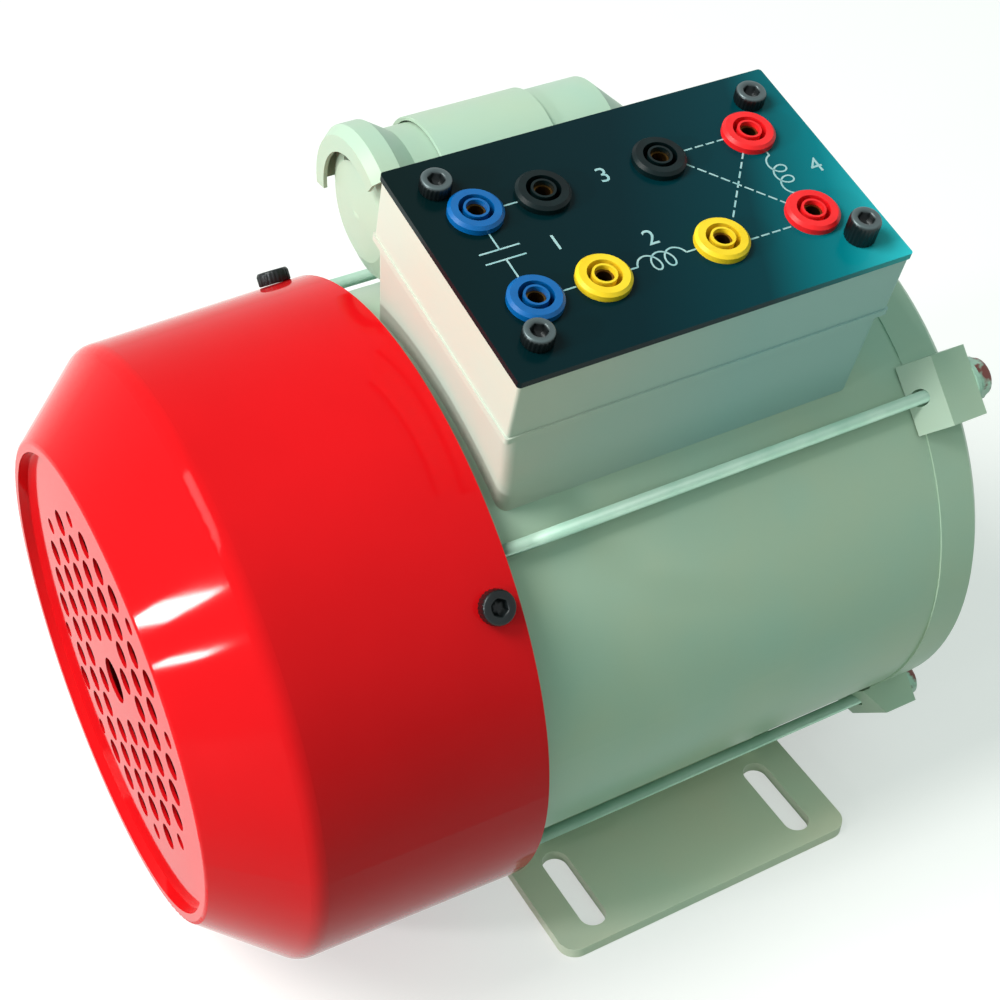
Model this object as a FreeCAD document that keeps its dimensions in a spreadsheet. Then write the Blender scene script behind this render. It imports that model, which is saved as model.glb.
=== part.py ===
"""Demonstration electric motor: a split-phase motor on a foot, opened out to a socket panel.

The shaft lies along Y, at shaft_height above the underside of the foot. The cowl and the cooling
fan are at -Y and the driven shaft end is at +Y. The terminal box, its panel and the capacitor
lean about the shaft by box_tilt, towards +X. Lengths are in millimetres, angles in degrees.
"""
import FreeCAD, Part
import math
import os
import re
import Sketcher

Vector = FreeCAD.Vector
document = FreeCAD.newDocument("DemonstrationMotor")

# ---------------------------------------------------------------------------------------------
# Driving sizes. Each one is a cell of the sheet, and every piece below is bound to the cells.
# ---------------------------------------------------------------------------------------------
DRIVING_SIZES = {
    # frame and clearances
    "foot_gap": 8.5,
    "box_tilt": 13.6,
    "bolt_angle": 45,
    "play": 0.3,
    "running_gap": 0.05,
    # foot
    "foot_width": 176,
    "foot_length": 110,
    "foot_thick": 4,
    "foot_corner": 6,
    "slot_inset_across": 21.5,
    "slot_inset_along": 15,
    "slot_length": 32,
    "slot_width": 9,
    "saddle_gap": 4.5,
    "saddle_thick": 4,
    "saddle_inset": 13,
    # yoke and shields
    "yoke_radius": 87.5,
    "yoke_wall": 3,
    "yoke_fan_end": -75,
    "yoke_length": 145,
    "wire_hole_radius": 9,
    "wire_hole_place": -50,
    "shield_step": 0.5,
    "shield_depth": 15,
    "shield_edge": 2.5,
    "shield_face": 5,
    "spigot_length": 5,
    "spigot_wall": 3.5,
    "rib_thick": 3,
    "rib_depth": 6,
    "rib_count": 8,
    "drive_hub_radius": 30,
    "drive_hub_in": 2,
    "drive_hub_out": 26,
    "fan_hub_radius": 27,
    "fan_hub_in": 3,
    "fan_hub_out": 21,
    "lug_half_width": 10.6,
    "lug_margin": 6.2,
    "lug_overhang": 3,
    "fan_lug_near": 9,
    "fan_lug_far": 17,
    # tie bolts
    "bolt_edge": 2.9,
    "bolt_radius": 2.4,
    "bolt_hole_play": 0.2,
    "bolt_engagement": 13,
    "bolt_head_width": 8,
    "bolt_head_height": 4,
    "bolt_washer_radius": 7.2,
    "bolt_washer_thick": 1.2,
    # cowl
    "cowl_overlap": 4,
    "cowl_standoff": 8.5,
    "cowl_skirt_length": 68.2,
    "cowl_taper": 1.8,
    "cowl_wall": 1,
    "cowl_cone_length": 23.7,
    "cowl_cone_draw": 21.2,
    "cowl_edge_round": 7,
    "cowl_crest_round": 1.6,
    "cowl_crest_width": 3,
    "cowl_dish_draw": 0.5,
    "cowl_dish_depth": 2.9,
    "hole_pitch": 11.3,
    "hole_radius": 4,
    "small_hole_radius": 2.5,
    "hole_grid_turn": -2.5,
    "centre_hole_radius": 7,
    "cowl_screw_inset": 3.3,
    "cowl_screw_turn": 7.4,
    "cowl_screw_radius": 2,
    "cowl_screw_reach": 6,
    "cowl_screw_relief": 2,
    "cowl_screw_head_radius": 4.75,
    "cowl_screw_head_height": 4,
    "cowl_screw_length": 9,
    # stator
    "core_gap": 1.5,
    "core_length": 70,
    "air_gap": 0.4,
    "stator_bore": 47,
    "slot_count": 24,
    "slot_mouth": 3,
    "slot_neck": 2,
    "tooth_width": 6.7,
    "core_back": 11.5,
    "slot_liner": 0.3,
    "winding_gap": 1.5,
    "run_spread": 3,
    "start_inset": 4.5,
    "start_depth": 9,
    "winding_overhang": 24,
    "end_insulation": 1,
    "end_turn_chamfer": 3,
    # rotor
    "bar_count": 28,
    "bar_outer_gap": 1.2,
    "bar_depth": 8,
    "bar_wide": 4.8,
    "bar_narrow": 3,
    "end_ring_inner": 28,
    "end_ring_thick": 8,
    "paddle_count": 10,
    "paddle_height": 3.4,
    "paddle_thick": 3,
    "paddle_inset": 4,
    "paddle_root": 1,
    "paddle_rim_gap": 2,
    "rotor_seat_radius": 13,
    "rotor_seat_beyond": 7.5,
    # shaft
    "fan_tip_beyond": 13,
    "drive_shaft_length": 40,
    "fan_seat_radius": 7.5,
    "fan_seat_gap": 2,
    "governor_seat_radius": 11,
    "governor_seat_beyond": 2,
    "drive_neck_radius": 12,
    "drive_shaft_radius": 9.5,
    "shaft_end_chamfer": 1,
    "plain_tip_length": 15,
    "tip_groove_width": 1.3,
    "tip_groove_depth": 0.5,
    "centre_drill_radius": 2.5,
    "key_width": 6,
    "key_height": 6,
    "key_length": 14,
    "key_seat_depth": 3.5,
    "key_inset": 2,
    # bearings
    "drive_bearing_outer": 23.5,
    "drive_bearing_bore": 10,
    "drive_bearing_width": 14,
    "drive_bearing_depth": 18,
    "drive_ball_radius": 3.97,
    "drive_ball_circle": 16.75,
    "drive_outer_shoulder": 19.75,
    "drive_inner_shoulder": 13.75,
    "fan_bearing_outer": 20,
    "fan_bearing_bore": 8.5,
    "fan_bearing_width": 12,
    "fan_bearing_depth": 5,
    "fan_ball_radius": 3.375,
    "fan_ball_circle": 14.25,
    "fan_outer_shoulder": 16.5,
    "fan_inner_shoulder": 12,
    "ball_count": 8,
    "cage_thick": 1.4,
    "cage_half_width": 4.4,
    "preload_thick": 1.2,
    # cooling fan
    "fan_hub_size": 18,
    "fan_hub_proud": 1,
    "fan_plate_gap": 3,
    "fan_plate_thick": 3,
    "blade_beyond_plate": 5,
    "blade_count": 10,
    "blade_root": 16,
    "blade_clearance": 13.2,
    "blade_length": 25,
    "blade_thick": 3,
    "circlip_thick": 1.3,
    "circlip_groove_depth": 0.5,
    "circlip_outer": 10.5,
    "circlip_opening": 3,
    # centrifugal governor and its switch
    "plate_to_pivot": 10,
    "governor_plate_thick": 2,
    "ear_root": 4,
    "governor_plate_radius": 22,
    "pivot_to_thrust": 9,
    "pivot_radius": 24,
    "pivot_pin_radius": 1,
    "ear_thick": 1.6,
    "ear_inner_half": 5,
    "ear_reach": 1.8,
    "weight_inner": 27,
    "lug_root": 1,
    "weight_outer": 36,
    "weight_half_angle": 40,
    "weight_gap": 1.2,
    "weight_thick": 8.2,
    "weight_lug_half": 4.5,
    "finger_tip": 14.6,
    "finger_half_thick": 0.8,
    "collar_sleeve_radius": 14,
    "collar_groove_half": 1.8,
    "collar_rib": 1.2,
    "collar_rib_radius": 17.2,
    "collar_beyond_pivot": 3.4,
    "thrust_radius": 20,
    "thrust_gap": 6,
    "thrust_thick": 1.5,
    "spring_place": 20,
    "spring_radius": 1.8,
    "board_thick": 2.5,
    "board_half_width": 24,
    "board_bottom": 21,
    "board_top": 76,
    "board_boss_place": 18,
    "board_boss_height": 66,
    "board_boss_radius": 5,
    "board_screw_radius": 2,
    "board_screw_head_radius": 3.6,
    "board_screw_head_height": 2.4,
    "board_screw_reach": 8,
    "arm_pivot": 40,
    "arm_pad_height": 17,
    "arm_half_width": 4,
    "arm_thick": 0.8,
    "arm_knuckle_radius": 1.7,
    "arm_pin_radius": 0.8,
    "contact_height": 29,
    "contact_radius": 2,
    "terminal_thick": 1,
    "terminal_margin": 1,
    "pivot_tab_half": 3,
    "pivot_strip_half": 4,
    "terminal_half_width": 3,
    "terminal_top": 79,
    # terminal box (across the box, along the shaft and out from it)
    "panel_half_width": 38,
    "panel_inset": 6,
    "panel_length": 120,
    "panel_rise": 48.5,
    "panel_thick": 2,
    "panel_corner": 1,
    "gasket_thick": 0.5,
    "gasket_width": 5,
    "cover_inset": 0.4,
    "cover_height": 21.5,
    "bead_height": 2,
    "bead_proud": 0.5,
    "box_inset": 0.9,
    "box_lean": 3.6,
    "box_wall": 2,
    "box_foot_depth": 14,
    "box_corner": 3,
    "pillar_inset_across": 10.5,
    "pillar_inset_along": 10.8,
    "pillar_radius": 4,
    "panel_screw_radius": 2.5,
    "panel_screw_head_radius": 4.25,
    "panel_screw_head_height": 3.5,
    "panel_screw_socket_width": 4,
    "panel_screw_length": 22,
    # sockets
    "row_across": 16,
    "socket_blue": -43.4,
    "socket_fan_side": -23.5,
    "socket_middle": 12.5,
    "socket_red": 41.5,
    "socket_flange_radius": 7.5,
    "socket_flange_height": 2.5,
    "socket_barrel_radius": 6,
    "socket_barrel_length": 22,
    "socket_groove_radius": 4.7,
    "socket_tube_radius": 3.4,
    "socket_floor": 4,
    "contact_outer": 2.7,
    "contact_bore": 2.1,
    "contact_recess": 1.5,
    "contact_tail": 8,
    "contact_tail_radius": 1.5,
    "nut_width": 14,
    "nut_thick": 3,
    "tag_thick": 0.8,
    "tag_half_width": 3,
    "tag_length": 12,
    # capacitor under its cover, beside the terminal box
    "capacitor_turn": 21.2,
    "sleeve_gap": 2.96,
    "cap_step": 1.7,
    "cap_shoulder": -56,
    "cap_bend_depth": 2.6,
    "cap_bend_radius": 15,
    "cap_face_depth": 3.4,
    "cap_overlap": 4,
    "hood_flare": 2.6,
    "hood_root": -45.6,
    "hood_top_end": -52.2,
    "hood_top_start": -58,
    "hood_front": -61,
    "hood_lip_radius": 18,
    "hood_angle": 185,
    "hood_sweep": 135,
    "slit_inner": 15,
    "slit_angle": 125,
    "slit_sweep": 70,
    "sleeve_start": -38,
    "sleeve_radius": 22.6,
    "sleeve_end": -1.9,
    "dome_step": 1.3,
    "dome_shoulder": 18.4,
    "dome_tip": 30,
    "dome_tip_radius": 10.7,
    "cover_wall": 1.2,
    "can_start": -55,
    "can_end": 12,
    "can_terminal_length": 7,
    "can_terminal_half": 3,
    "can_terminal_thick": 0.8,
    "bracket_half_width": 13,
    "bracket_place": -20,
    "bracket_spread": 14,
    "saddle_rise": 66,
    "nipple_radius": 5,
    "nipple_bore": 3.5,
    "nipple_reach": 9,
}

# Sizes that follow from the driving ones, and move with them.
FOLLOWING_SIZES = {
    "yoke_drive_end": "yoke_fan_end + yoke_length",
    "shaft_height": "foot_thick + foot_gap + yoke_radius",
    "slot_spacing_across": "foot_width - 2*slot_inset_across",
    "slot_spacing_along": "foot_length - 2*slot_inset_along",
    "saddle_half_width": "(slot_spacing_across - slot_length)/2 - saddle_gap",
    "saddle_place": "foot_length/2 - saddle_inset",
    "shield_radius": "yoke_radius + shield_step",
    "drive_hub_inner": "yoke_drive_end + drive_hub_in",
    "drive_hub_outer": "yoke_drive_end + drive_hub_out",
    "fan_hub_inner": "yoke_fan_end + fan_hub_in",
    "fan_hub_outer": "yoke_fan_end - fan_hub_out",
    "drive_bearing_start": "drive_hub_outer - drive_bearing_depth",
    "fan_bearing_start": "fan_hub_outer + fan_bearing_depth",
    "cowl_rim": "yoke_fan_end + cowl_overlap",
    "cowl_rim_radius": "yoke_radius + cowl_standoff",
    "cowl_shoulder": "cowl_rim - cowl_skirt_length",
    "cowl_shoulder_radius": "cowl_rim_radius - cowl_taper",
    "cowl_slope": "cowl_taper/cowl_skirt_length",
    "cowl_crest": "cowl_shoulder - cowl_cone_length",
    "cowl_crest_radius": "cowl_shoulder_radius - cowl_cone_draw",
    "cowl_disc_radius": "cowl_crest_radius - cowl_crest_width - cowl_dish_draw",
    "cowl_face": "cowl_crest + cowl_dish_depth",
    "cowl_screw_place": "yoke_fan_end - cowl_screw_inset",
    "fan_lug_radius": "cowl_rim_radius - (cowl_overlap + shield_depth)*cowl_slope - cowl_wall - play",
    "bolt_circle": "fan_lug_radius - bolt_edge",
    "lug_radius": "bolt_circle + lug_margin",
    "thrust_front": "fan_hub_inner + thrust_gap",
    "pivot_place": "thrust_front + pivot_to_thrust",
    "collar_end": "pivot_place + collar_beyond_pivot",
    "plate_back": "pivot_place + plate_to_pivot",
    "weight_back": "plate_back - weight_gap",
    "weight_front": "weight_back - weight_thick",
    "governor_seat_end": "plate_back + governor_seat_beyond",
    "core_fan_end": "plate_back + core_gap + end_ring_thick",
    "core_drive_end": "core_fan_end + core_length",
    "rotor_seat_drive_end": "core_drive_end + rotor_seat_beyond",
    "slot_bottom": "yoke_radius - yoke_wall - core_back",
    "start_inner": "stator_bore + start_inset",
    "start_outer": "start_inner + start_depth",
    "run_inner": "start_outer + winding_gap",
    "run_outer": "slot_bottom + run_spread",
    "drive_shaft_start": "drive_hub_outer",
    "shaft_drive_tip": "drive_shaft_start + drive_shaft_length",
    "plain_tip_start": "shaft_drive_tip - shaft_end_chamfer - plain_tip_length",
    "key_start": "drive_shaft_start + key_inset",
    "fan_seat_end": "fan_hub_outer - fan_seat_gap",
    "fan_plate_back": "fan_seat_end - fan_plate_gap",
    "blade_front": "fan_plate_back - blade_length",
    "blade_tip": "cowl_shoulder_radius - cowl_wall - blade_clearance",
    "fan_plate_radius": "blade_tip - blade_beyond_plate",
    "fan_hub_front": "blade_front - fan_hub_proud",
    "shaft_fan_tip": "fan_hub_front - fan_tip_beyond",
    "panel_fan_end": "yoke_fan_end + panel_inset",
    "panel_drive_end": "panel_fan_end + panel_length",
    "panel_top": "yoke_radius + panel_rise",
    "pillar_across": "panel_half_width - pillar_inset_across",
    "pillar_along": "panel_length/2 - pillar_inset_along",
    "capacitor_reach": "yoke_radius + sleeve_gap + sleeve_radius",
    "capacitor_across": "-(capacitor_reach * sin(capacitor_turn))",
    "capacitor_height": "shaft_height + capacitor_reach * cos(capacitor_turn)",
    "cap_radius": "sleeve_radius - cap_step",
    "cap_bend": "cap_shoulder - cap_bend_depth",
    "cap_face": "cap_shoulder - cap_face_depth",
    "hood_radius": "sleeve_radius + hood_flare",
    "dome_radius": "sleeve_radius - dome_step",
}


def read_sizes():
    """Put each driving size in its own cell of the sheet, with its name as the alias."""
    sheet = document.addObject("Spreadsheet::Sheet", "Sizes")
    for row, (name, size) in enumerate(DRIVING_SIZES.items(), 1):
        sheet.set(f"A{row}", name)
        sheet.set(f"B{row}", str(size))
        sheet.setAlias(f"B{row}", name)
    document.recompute()
    return sheet


sizes = read_sizes()


def bound(text):
    """Turn a formula written with size names into an expression on the sheet."""
    def named(word):
        if word[0] in FOLLOWING_SIZES:
            return f"({bound(FOLLOWING_SIZES[word[0]])})"
        return f"Sizes.{word[0]}" if word[0] in DRIVING_SIZES else word[0]

    return re.sub(r"[a-z][a-z_]*[a-z]", named, text)


def value(text):
    """The number that a formula gives with the present sizes."""
    result = sizes.evalExpression(bound(text))
    return float(getattr(result, "Value", result))


def tie(item, prop, text):
    """Bind one property of an object to a formula."""
    item.setExpression(prop, bound(text))


# ---------------------------------------------------------------------------------------------
# Sketches. A corner is a pair of formulas. A third entry makes the edge that starts there an
# arc of that radius, which bends to the left, or to the right where a fourth entry says so.
# ---------------------------------------------------------------------------------------------
def arc_between(start, end, radius, left):
    """The short arc from start to end as a circle's part, always counter-clockwise."""
    chord = end - start
    half = chord.Length / 2
    side = 1 if left else -1
    rise = math.sqrt(max(radius * radius - half * half, 0))
    centre = start + chord * 0.5 + Vector(-chord.y, chord.x, 0).normalize() * (side * rise)
    first, last = (start, end) if left else (end, start)
    low = math.atan2(first.y - centre.y, first.x - centre.x)
    high = math.atan2(last.y - centre.y, last.x - centre.x)
    return Part.ArcOfCircle(Part.Circle(centre, Vector(0, 0, 1), radius), low, high)


def outline(sketch, corners):
    """Draw one closed outline and tie every corner and every radius to its formula."""
    points = [Vector(value(corner[0]), value(corner[1]), 0) for corner in corners]
    first = sketch.GeometryCount
    count = len(corners)
    ends = []
    for index, corner in enumerate(corners):
        following = points[(index + 1) % count]
        if len(corner) == 2:
            sketch.addGeometry(Part.LineSegment(points[index], following), False)
            ends.append((1, 2))
            continue
        left = len(corner) == 3
        sketch.addGeometry(arc_between(points[index], following, value(corner[2]), left), False)
        ends.append((1, 2) if left else (2, 1))
    for index in range(count):
        other = (index + 1) % count
        sketch.addConstraint(
            Sketcher.Constraint("Coincident", first + index, ends[index][1], first + other, ends[other][0]))
    for index, corner in enumerate(corners):
        start = ends[index][0]
        point = points[index]
        across = sketch.addConstraint(Sketcher.Constraint("DistanceX", -1, 1, first + index, start, point.x))
        along = sketch.addConstraint(Sketcher.Constraint("DistanceY", -1, 1, first + index, start, point.y))
        tie(sketch, f"Constraints[{across}]", corner[0])
        tie(sketch, f"Constraints[{along}]", corner[1])
        if len(corner) > 2:
            bend = sketch.addConstraint(Sketcher.Constraint("Radius", first + index, value(corner[2])))
            tie(sketch, f"Constraints[{bend}]", corner[2])


def ring_hole(sketch, across, along, radius):
    """Draw one circle with its centre and radius tied to formulas."""
    centre = Vector(value(across), value(along), 0)
    index = sketch.addGeometry(Part.Circle(centre, Vector(0, 0, 1), value(radius)), False)
    first = sketch.addConstraint([
        Sketcher.Constraint("DistanceX", -1, 1, index, 3, centre.x),
        Sketcher.Constraint("DistanceY", -1, 1, index, 3, centre.y),
        Sketcher.Constraint("Radius", index, value(radius))])[0]
    tie(sketch, f"Constraints[{first}]", across)
    tie(sketch, f"Constraints[{first + 1}]", along)
    tie(sketch, f"Constraints[{first + 2}]", radius)


def box_outline(low_x, high_x, low_y, high_y, corner="0"):
    """Corners of a rectangle, with rounded corners where a radius is given."""
    if corner == "0":
        return [(low_x, low_y), (high_x, low_y), (high_x, high_y), (low_x, high_y)]
    return [
        (f"({low_x}) + {corner}", low_y), (f"({high_x}) - {corner}", low_y, corner),
        (high_x, f"({low_y}) + {corner}"), (high_x, f"({high_y}) - {corner}", corner),
        (f"({high_x}) - {corner}", high_y), (f"({low_x}) + {corner}", high_y, corner),
        (low_x, f"({high_y}) - {corner}"), (low_x, f"({low_y}) + {corner}", corner)]


def chamfered(low_x, high_x, low_y, high_y, corner):
    """Corners of a rectangle whose four corners are cut off straight."""
    return [
        (f"({low_x}) + {corner}", low_y), (f"({high_x}) - {corner}", low_y),
        (high_x, f"({low_y}) + {corner}"), (high_x, f"({high_y}) - {corner}"),
        (f"({high_x}) - {corner}", high_y), (f"({low_x}) + {corner}", high_y),
        (low_x, f"({high_y}) - {corner}"), (low_x, f"({low_y}) + {corner}")]


def slot_outline(x, y, length, width, upright=False):
    """Corners of a round-ended slot along the sketch's first axis, or its second if upright."""
    half = f"({width})/2"
    end = f"(({length})/2 - ({width})/2)"
    if upright:
        return [
            (f"{x} + {half}", f"{y} - {end}"), (f"{x} + {half}", f"{y} + {end}", half),
            (x, f"{y} + ({length})/2", half), (f"{x} - {half}", f"{y} + {end}"),
            (f"{x} - {half}", f"{y} - {end}", half), (x, f"{y} - ({length})/2", half)]
    return [
        (f"{x} - {end}", f"{y} - {half}"), (f"{x} + {end}", f"{y} - {half}", half),
        (f"{x} + ({length})/2", y, half), (f"{x} + {end}", f"{y} + {half}"),
        (f"{x} - {end}", f"{y} + {half}", half), (f"{x} - ({length})/2", y, half)]


# ---------------------------------------------------------------------------------------------
# Bodies. The plane XY holds sketches seen from above, XZ those across the shaft and YZ those
# seen from the side. A pad or a pocket runs from a low to a high place on the third axis.
# ---------------------------------------------------------------------------------------------
def new_body(label, lift="shaft_height", turn=None, across="0", along="0"):
    """An empty body whose own origin is lifted to the shaft and may be turned about it."""
    body = document.addObject("PartDesign::Body", label)
    body.Label = label
    if turn:
        body.Placement = FreeCAD.Placement(Vector(), FreeCAD.Rotation(Vector(0, 1, 0), 1))
        tie(body, "Placement.Rotation.Angle", turn)
    tie(body, "Placement.Base.x", across)
    tie(body, "Placement.Base.y", along)
    tie(body, "Placement.Base.z", lift)
    return body


def box_body(label, across="0", along="0"):
    """An empty body in the terminal box's own directions: across it, along the shaft and out."""
    return new_body(
        label, f"shaft_height - ({across}) * sin(box_tilt)", "box_tilt", f"({across}) * cos(box_tilt)", along)


def origin_part(body, role):
    """One of the body's own origin planes or axes."""
    return [part for part in body.Origin.OriginFeatures if part.Role == role][0]


def new_sketch(body, plane, place="0", turn="0"):
    """An empty sketch on an origin plane, moved along the plane's third axis."""
    sketch = body.newObject("Sketcher::SketchObject", f"{body.Label}_sketch")
    sketch.AttachmentSupport = [(origin_part(body, f"{plane}_Plane"), "")]
    sketch.MapMode = "FlatFace"
    side = "-1" if plane == "XZ" else "1"
    sketch.AttachmentOffset = FreeCAD.Placement(Vector(0, 0, 0), FreeCAD.Rotation(Vector(0, 0, 1), 1))
    tie(sketch, "AttachmentOffset.Base.z", f"{side} * ({place})")
    tie(sketch, "AttachmentOffset.Rotation.Angle", turn)
    return sketch


def fill(sketch, outlines, holes=()):
    """Draw outlines and round holes in a sketch."""
    for corners in outlines:
        outline(sketch, corners)
    for across, along, radius in holes:
        ring_hole(sketch, across, along, radius)
    return sketch


def pad(body, plane, low, high, outlines, holes=(), turn="0"):
    """Add material between two places along the plane's third axis."""
    start = high if plane == "XZ" else low
    sketch = fill(new_sketch(body, plane, start, turn), outlines, holes)
    feature = body.newObject("PartDesign::Pad", f"{body.Label}_pad")
    feature.Profile = (sketch, [""])
    tie(feature, "Length", f"({high}) - ({low})")
    return feature


def pocket(body, plane, low, high, outlines, holes=(), turn="0"):
    """Remove material between two places along the plane's third axis."""
    start = low if plane == "XZ" else high
    sketch = fill(new_sketch(body, plane, start, turn), outlines, holes)
    feature = body.newObject("PartDesign::Pocket", f"{body.Label}_pocket")
    feature.Profile = (sketch, [""])
    tie(feature, "Length", f"({high}) - ({low})")
    return feature


def turned(body, outlines, plane="XY", sweep="360"):
    """Turn outlines (radius, place) about the body's Y axis, or about its Z axis on plane XZ."""
    sketch = fill(new_sketch(body, plane), outlines)
    feature = body.newObject("PartDesign::Revolution", f"{body.Label}_turn")
    feature.Profile = (sketch, [""])
    feature.ReferenceAxis = (sketch, ["V_Axis"])
    tie(feature, "Angle", sweep)
    return feature


def around(body, features, count, axis="Y_Axis"):
    """Repeat features evenly about the body's axis."""
    feature = body.newObject("PartDesign::PolarPattern", f"{body.Label}_round")
    feature.Originals = features
    feature.Axis = (origin_part(body, axis), [""])
    feature.Angle = 360
    tie(feature, "Occurrences", count)
    body.Tip = feature
    return feature


def turned_piece(label, corners):
    """A piece that is one outline turned about the shaft."""
    body = new_body(label)
    turned(body, [corners])
    return body


def tube(inner, outer, low, high):
    """Corners of a plain ring's section."""
    return [(inner, low), (outer, low), (outer, high), (inner, high)]


SAME_PLACE = 0.01  # two places nearer than this are one


def round_edges(body, radius, rings):
    """Round the edges that run round the shaft at the given radii and places."""
    document.recompute()
    base = body.Tip
    wanted = [(value(ring), value(place)) for ring, place in rings]
    names = []
    for number, edge in enumerate(base.Shape.Edges, 1):
        curve = edge.Curve
        if not isinstance(curve, Part.Circle):
            continue
        if any(abs(curve.Radius - ring) + abs(curve.Center.y - place) < SAME_PLACE for ring, place in wanted):
            names.append(f"Edge{number}")
    feature = body.newObject("PartDesign::Fillet", f"{body.Label}_round")
    feature.Base = (base, names)
    tie(feature, "Radius", radius)
    return feature


def joined(label, members):
    """Pieces that are welded or moulded together."""
    feature = document.addObject("Part::MultiFuse", label)
    feature.Shapes = members
    feature.Label = label
    return feature


def cut(label, base, tools):
    """A piece with the given tools taken away from it."""
    tool = tools[0]
    if len(tools) > 1:
        tool = document.addObject("Part::MultiFuse", f"{label}_tools")
        tool.Shapes = tools
    feature = document.addObject("Part::Cut", label)
    feature.Base = base
    feature.Tool = tool
    feature.Label = label
    return feature


pieces = []


def keep(piece, label=None):
    """Put a finished sub-part on the list of those that are written."""
    if label:
        piece.Label = label
    pieces.append(piece)
    return piece


# ---------------------------------------------------------------------------------------------
# Foot: a slotted plate with two saddles welded under the yoke.
# ---------------------------------------------------------------------------------------------
def make_foot():
    plate = new_body("foot_plate", "0")
    half_x = "foot_width/2"
    half_y = "foot_length/2"
    across = "slot_spacing_across/2"
    along = "slot_spacing_along/2"
    slots = [slot_outline(f"{x} * {across}", f"{y} * {along}", "slot_length", "slot_width")
             for x in (-1, 1) for y in (-1, 1)]
    edge = box_outline(f"-{half_x}", half_x, f"-{half_y}", half_y, "foot_corner")
    pad(plate, "XY", "0", "foot_thick", [edge] + slots)
    keep(plate)

    saddles = new_body("foot_saddles")
    meets = "-sqrt(yoke_radius^2 - saddle_half_width^2)"
    under = "foot_thick - shaft_height"
    web = [
        ("-saddle_half_width", under), ("saddle_half_width", under),
        ("saddle_half_width", meets, "yoke_radius", "right"), ("-saddle_half_width", meets)]
    for side in (-1, 1):
        middle = f"{side} * saddle_place"
        pad(saddles, "XZ", f"{middle} - saddle_thick/2", f"{middle} + saddle_thick/2", [web])
    keep(saddles)


# ---------------------------------------------------------------------------------------------
# Yoke and end shields. Each shield carries four lugs for the tie bolts, at bolt_angle.
# ---------------------------------------------------------------------------------------------
def make_yoke():
    shell = turned_piece(
        "yoke_tube", tube("yoke_radius - yoke_wall", "yoke_radius", "yoke_fan_end", "yoke_drive_end"))
    drill = box_body("wire_hole")
    pad(drill, "XY", "yoke_radius - 2*yoke_wall", "yoke_radius + yoke_wall", [],
        [("0", "wire_hole_place", "wire_hole_radius")])
    keep(cut("yoke_shell", shell, [drill]))


def make_drive_shield():
    shield = new_body("drive_end_shield", turn="-bolt_angle")
    inner = "yoke_radius - yoke_wall - running_gap"
    back = "yoke_drive_end + shield_depth"
    seat_end = "drive_bearing_start + drive_bearing_width + preload_thick"
    turned(shield, [[
        ("drive_bearing_outer", "drive_hub_inner"), ("drive_hub_radius", "drive_hub_inner"),
        ("drive_hub_radius", f"{back} - shield_face"), (f"{inner} - spigot_wall", f"{back} - shield_face"),
        (f"{inner} - spigot_wall", "yoke_drive_end - spigot_length"),
        (inner, "yoke_drive_end - spigot_length"),
        (inner, "yoke_drive_end"), ("shield_radius", "yoke_drive_end"),
        ("shield_radius", f"{back} - shield_edge"), ("shield_radius - shield_edge", back),
        ("drive_hub_radius", back), ("drive_hub_radius", "drive_hub_outer - shaft_end_chamfer"),
        ("drive_hub_radius - shaft_end_chamfer", "drive_hub_outer"),
        ("drive_bearing_bore + play", "drive_hub_outer"), ("drive_bearing_bore + play", seat_end),
        ("drive_bearing_outer", seat_end)]])
    rib = pad(shield, "XZ", f"{back} - shield_face - rib_depth", f"{back} - shield_face/2", [
        box_outline("drive_hub_radius - 1", f"{inner} - spigot_wall/2", "-rib_thick/2", "rib_thick/2")])
    around(shield, [rib], "rib_count")
    root = "shield_radius - spigot_wall"
    front = "yoke_drive_end - lug_overhang"
    lug = pad(shield, "XY", "-lug_half_width", "lug_half_width", [[
        ("yoke_radius + play", front), ("lug_radius", f"{front} + 2*lug_overhang"), ("lug_radius", back),
        (root, back), (root, "yoke_drive_end"), ("yoke_radius + play", "yoke_drive_end")]])
    around(shield, [lug], "4")
    hole = pocket(shield, "XZ", front, back, [], [("bolt_circle", "0", "bolt_radius + bolt_hole_play")])
    around(shield, [hole], "4")
    keep(shield)


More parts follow.
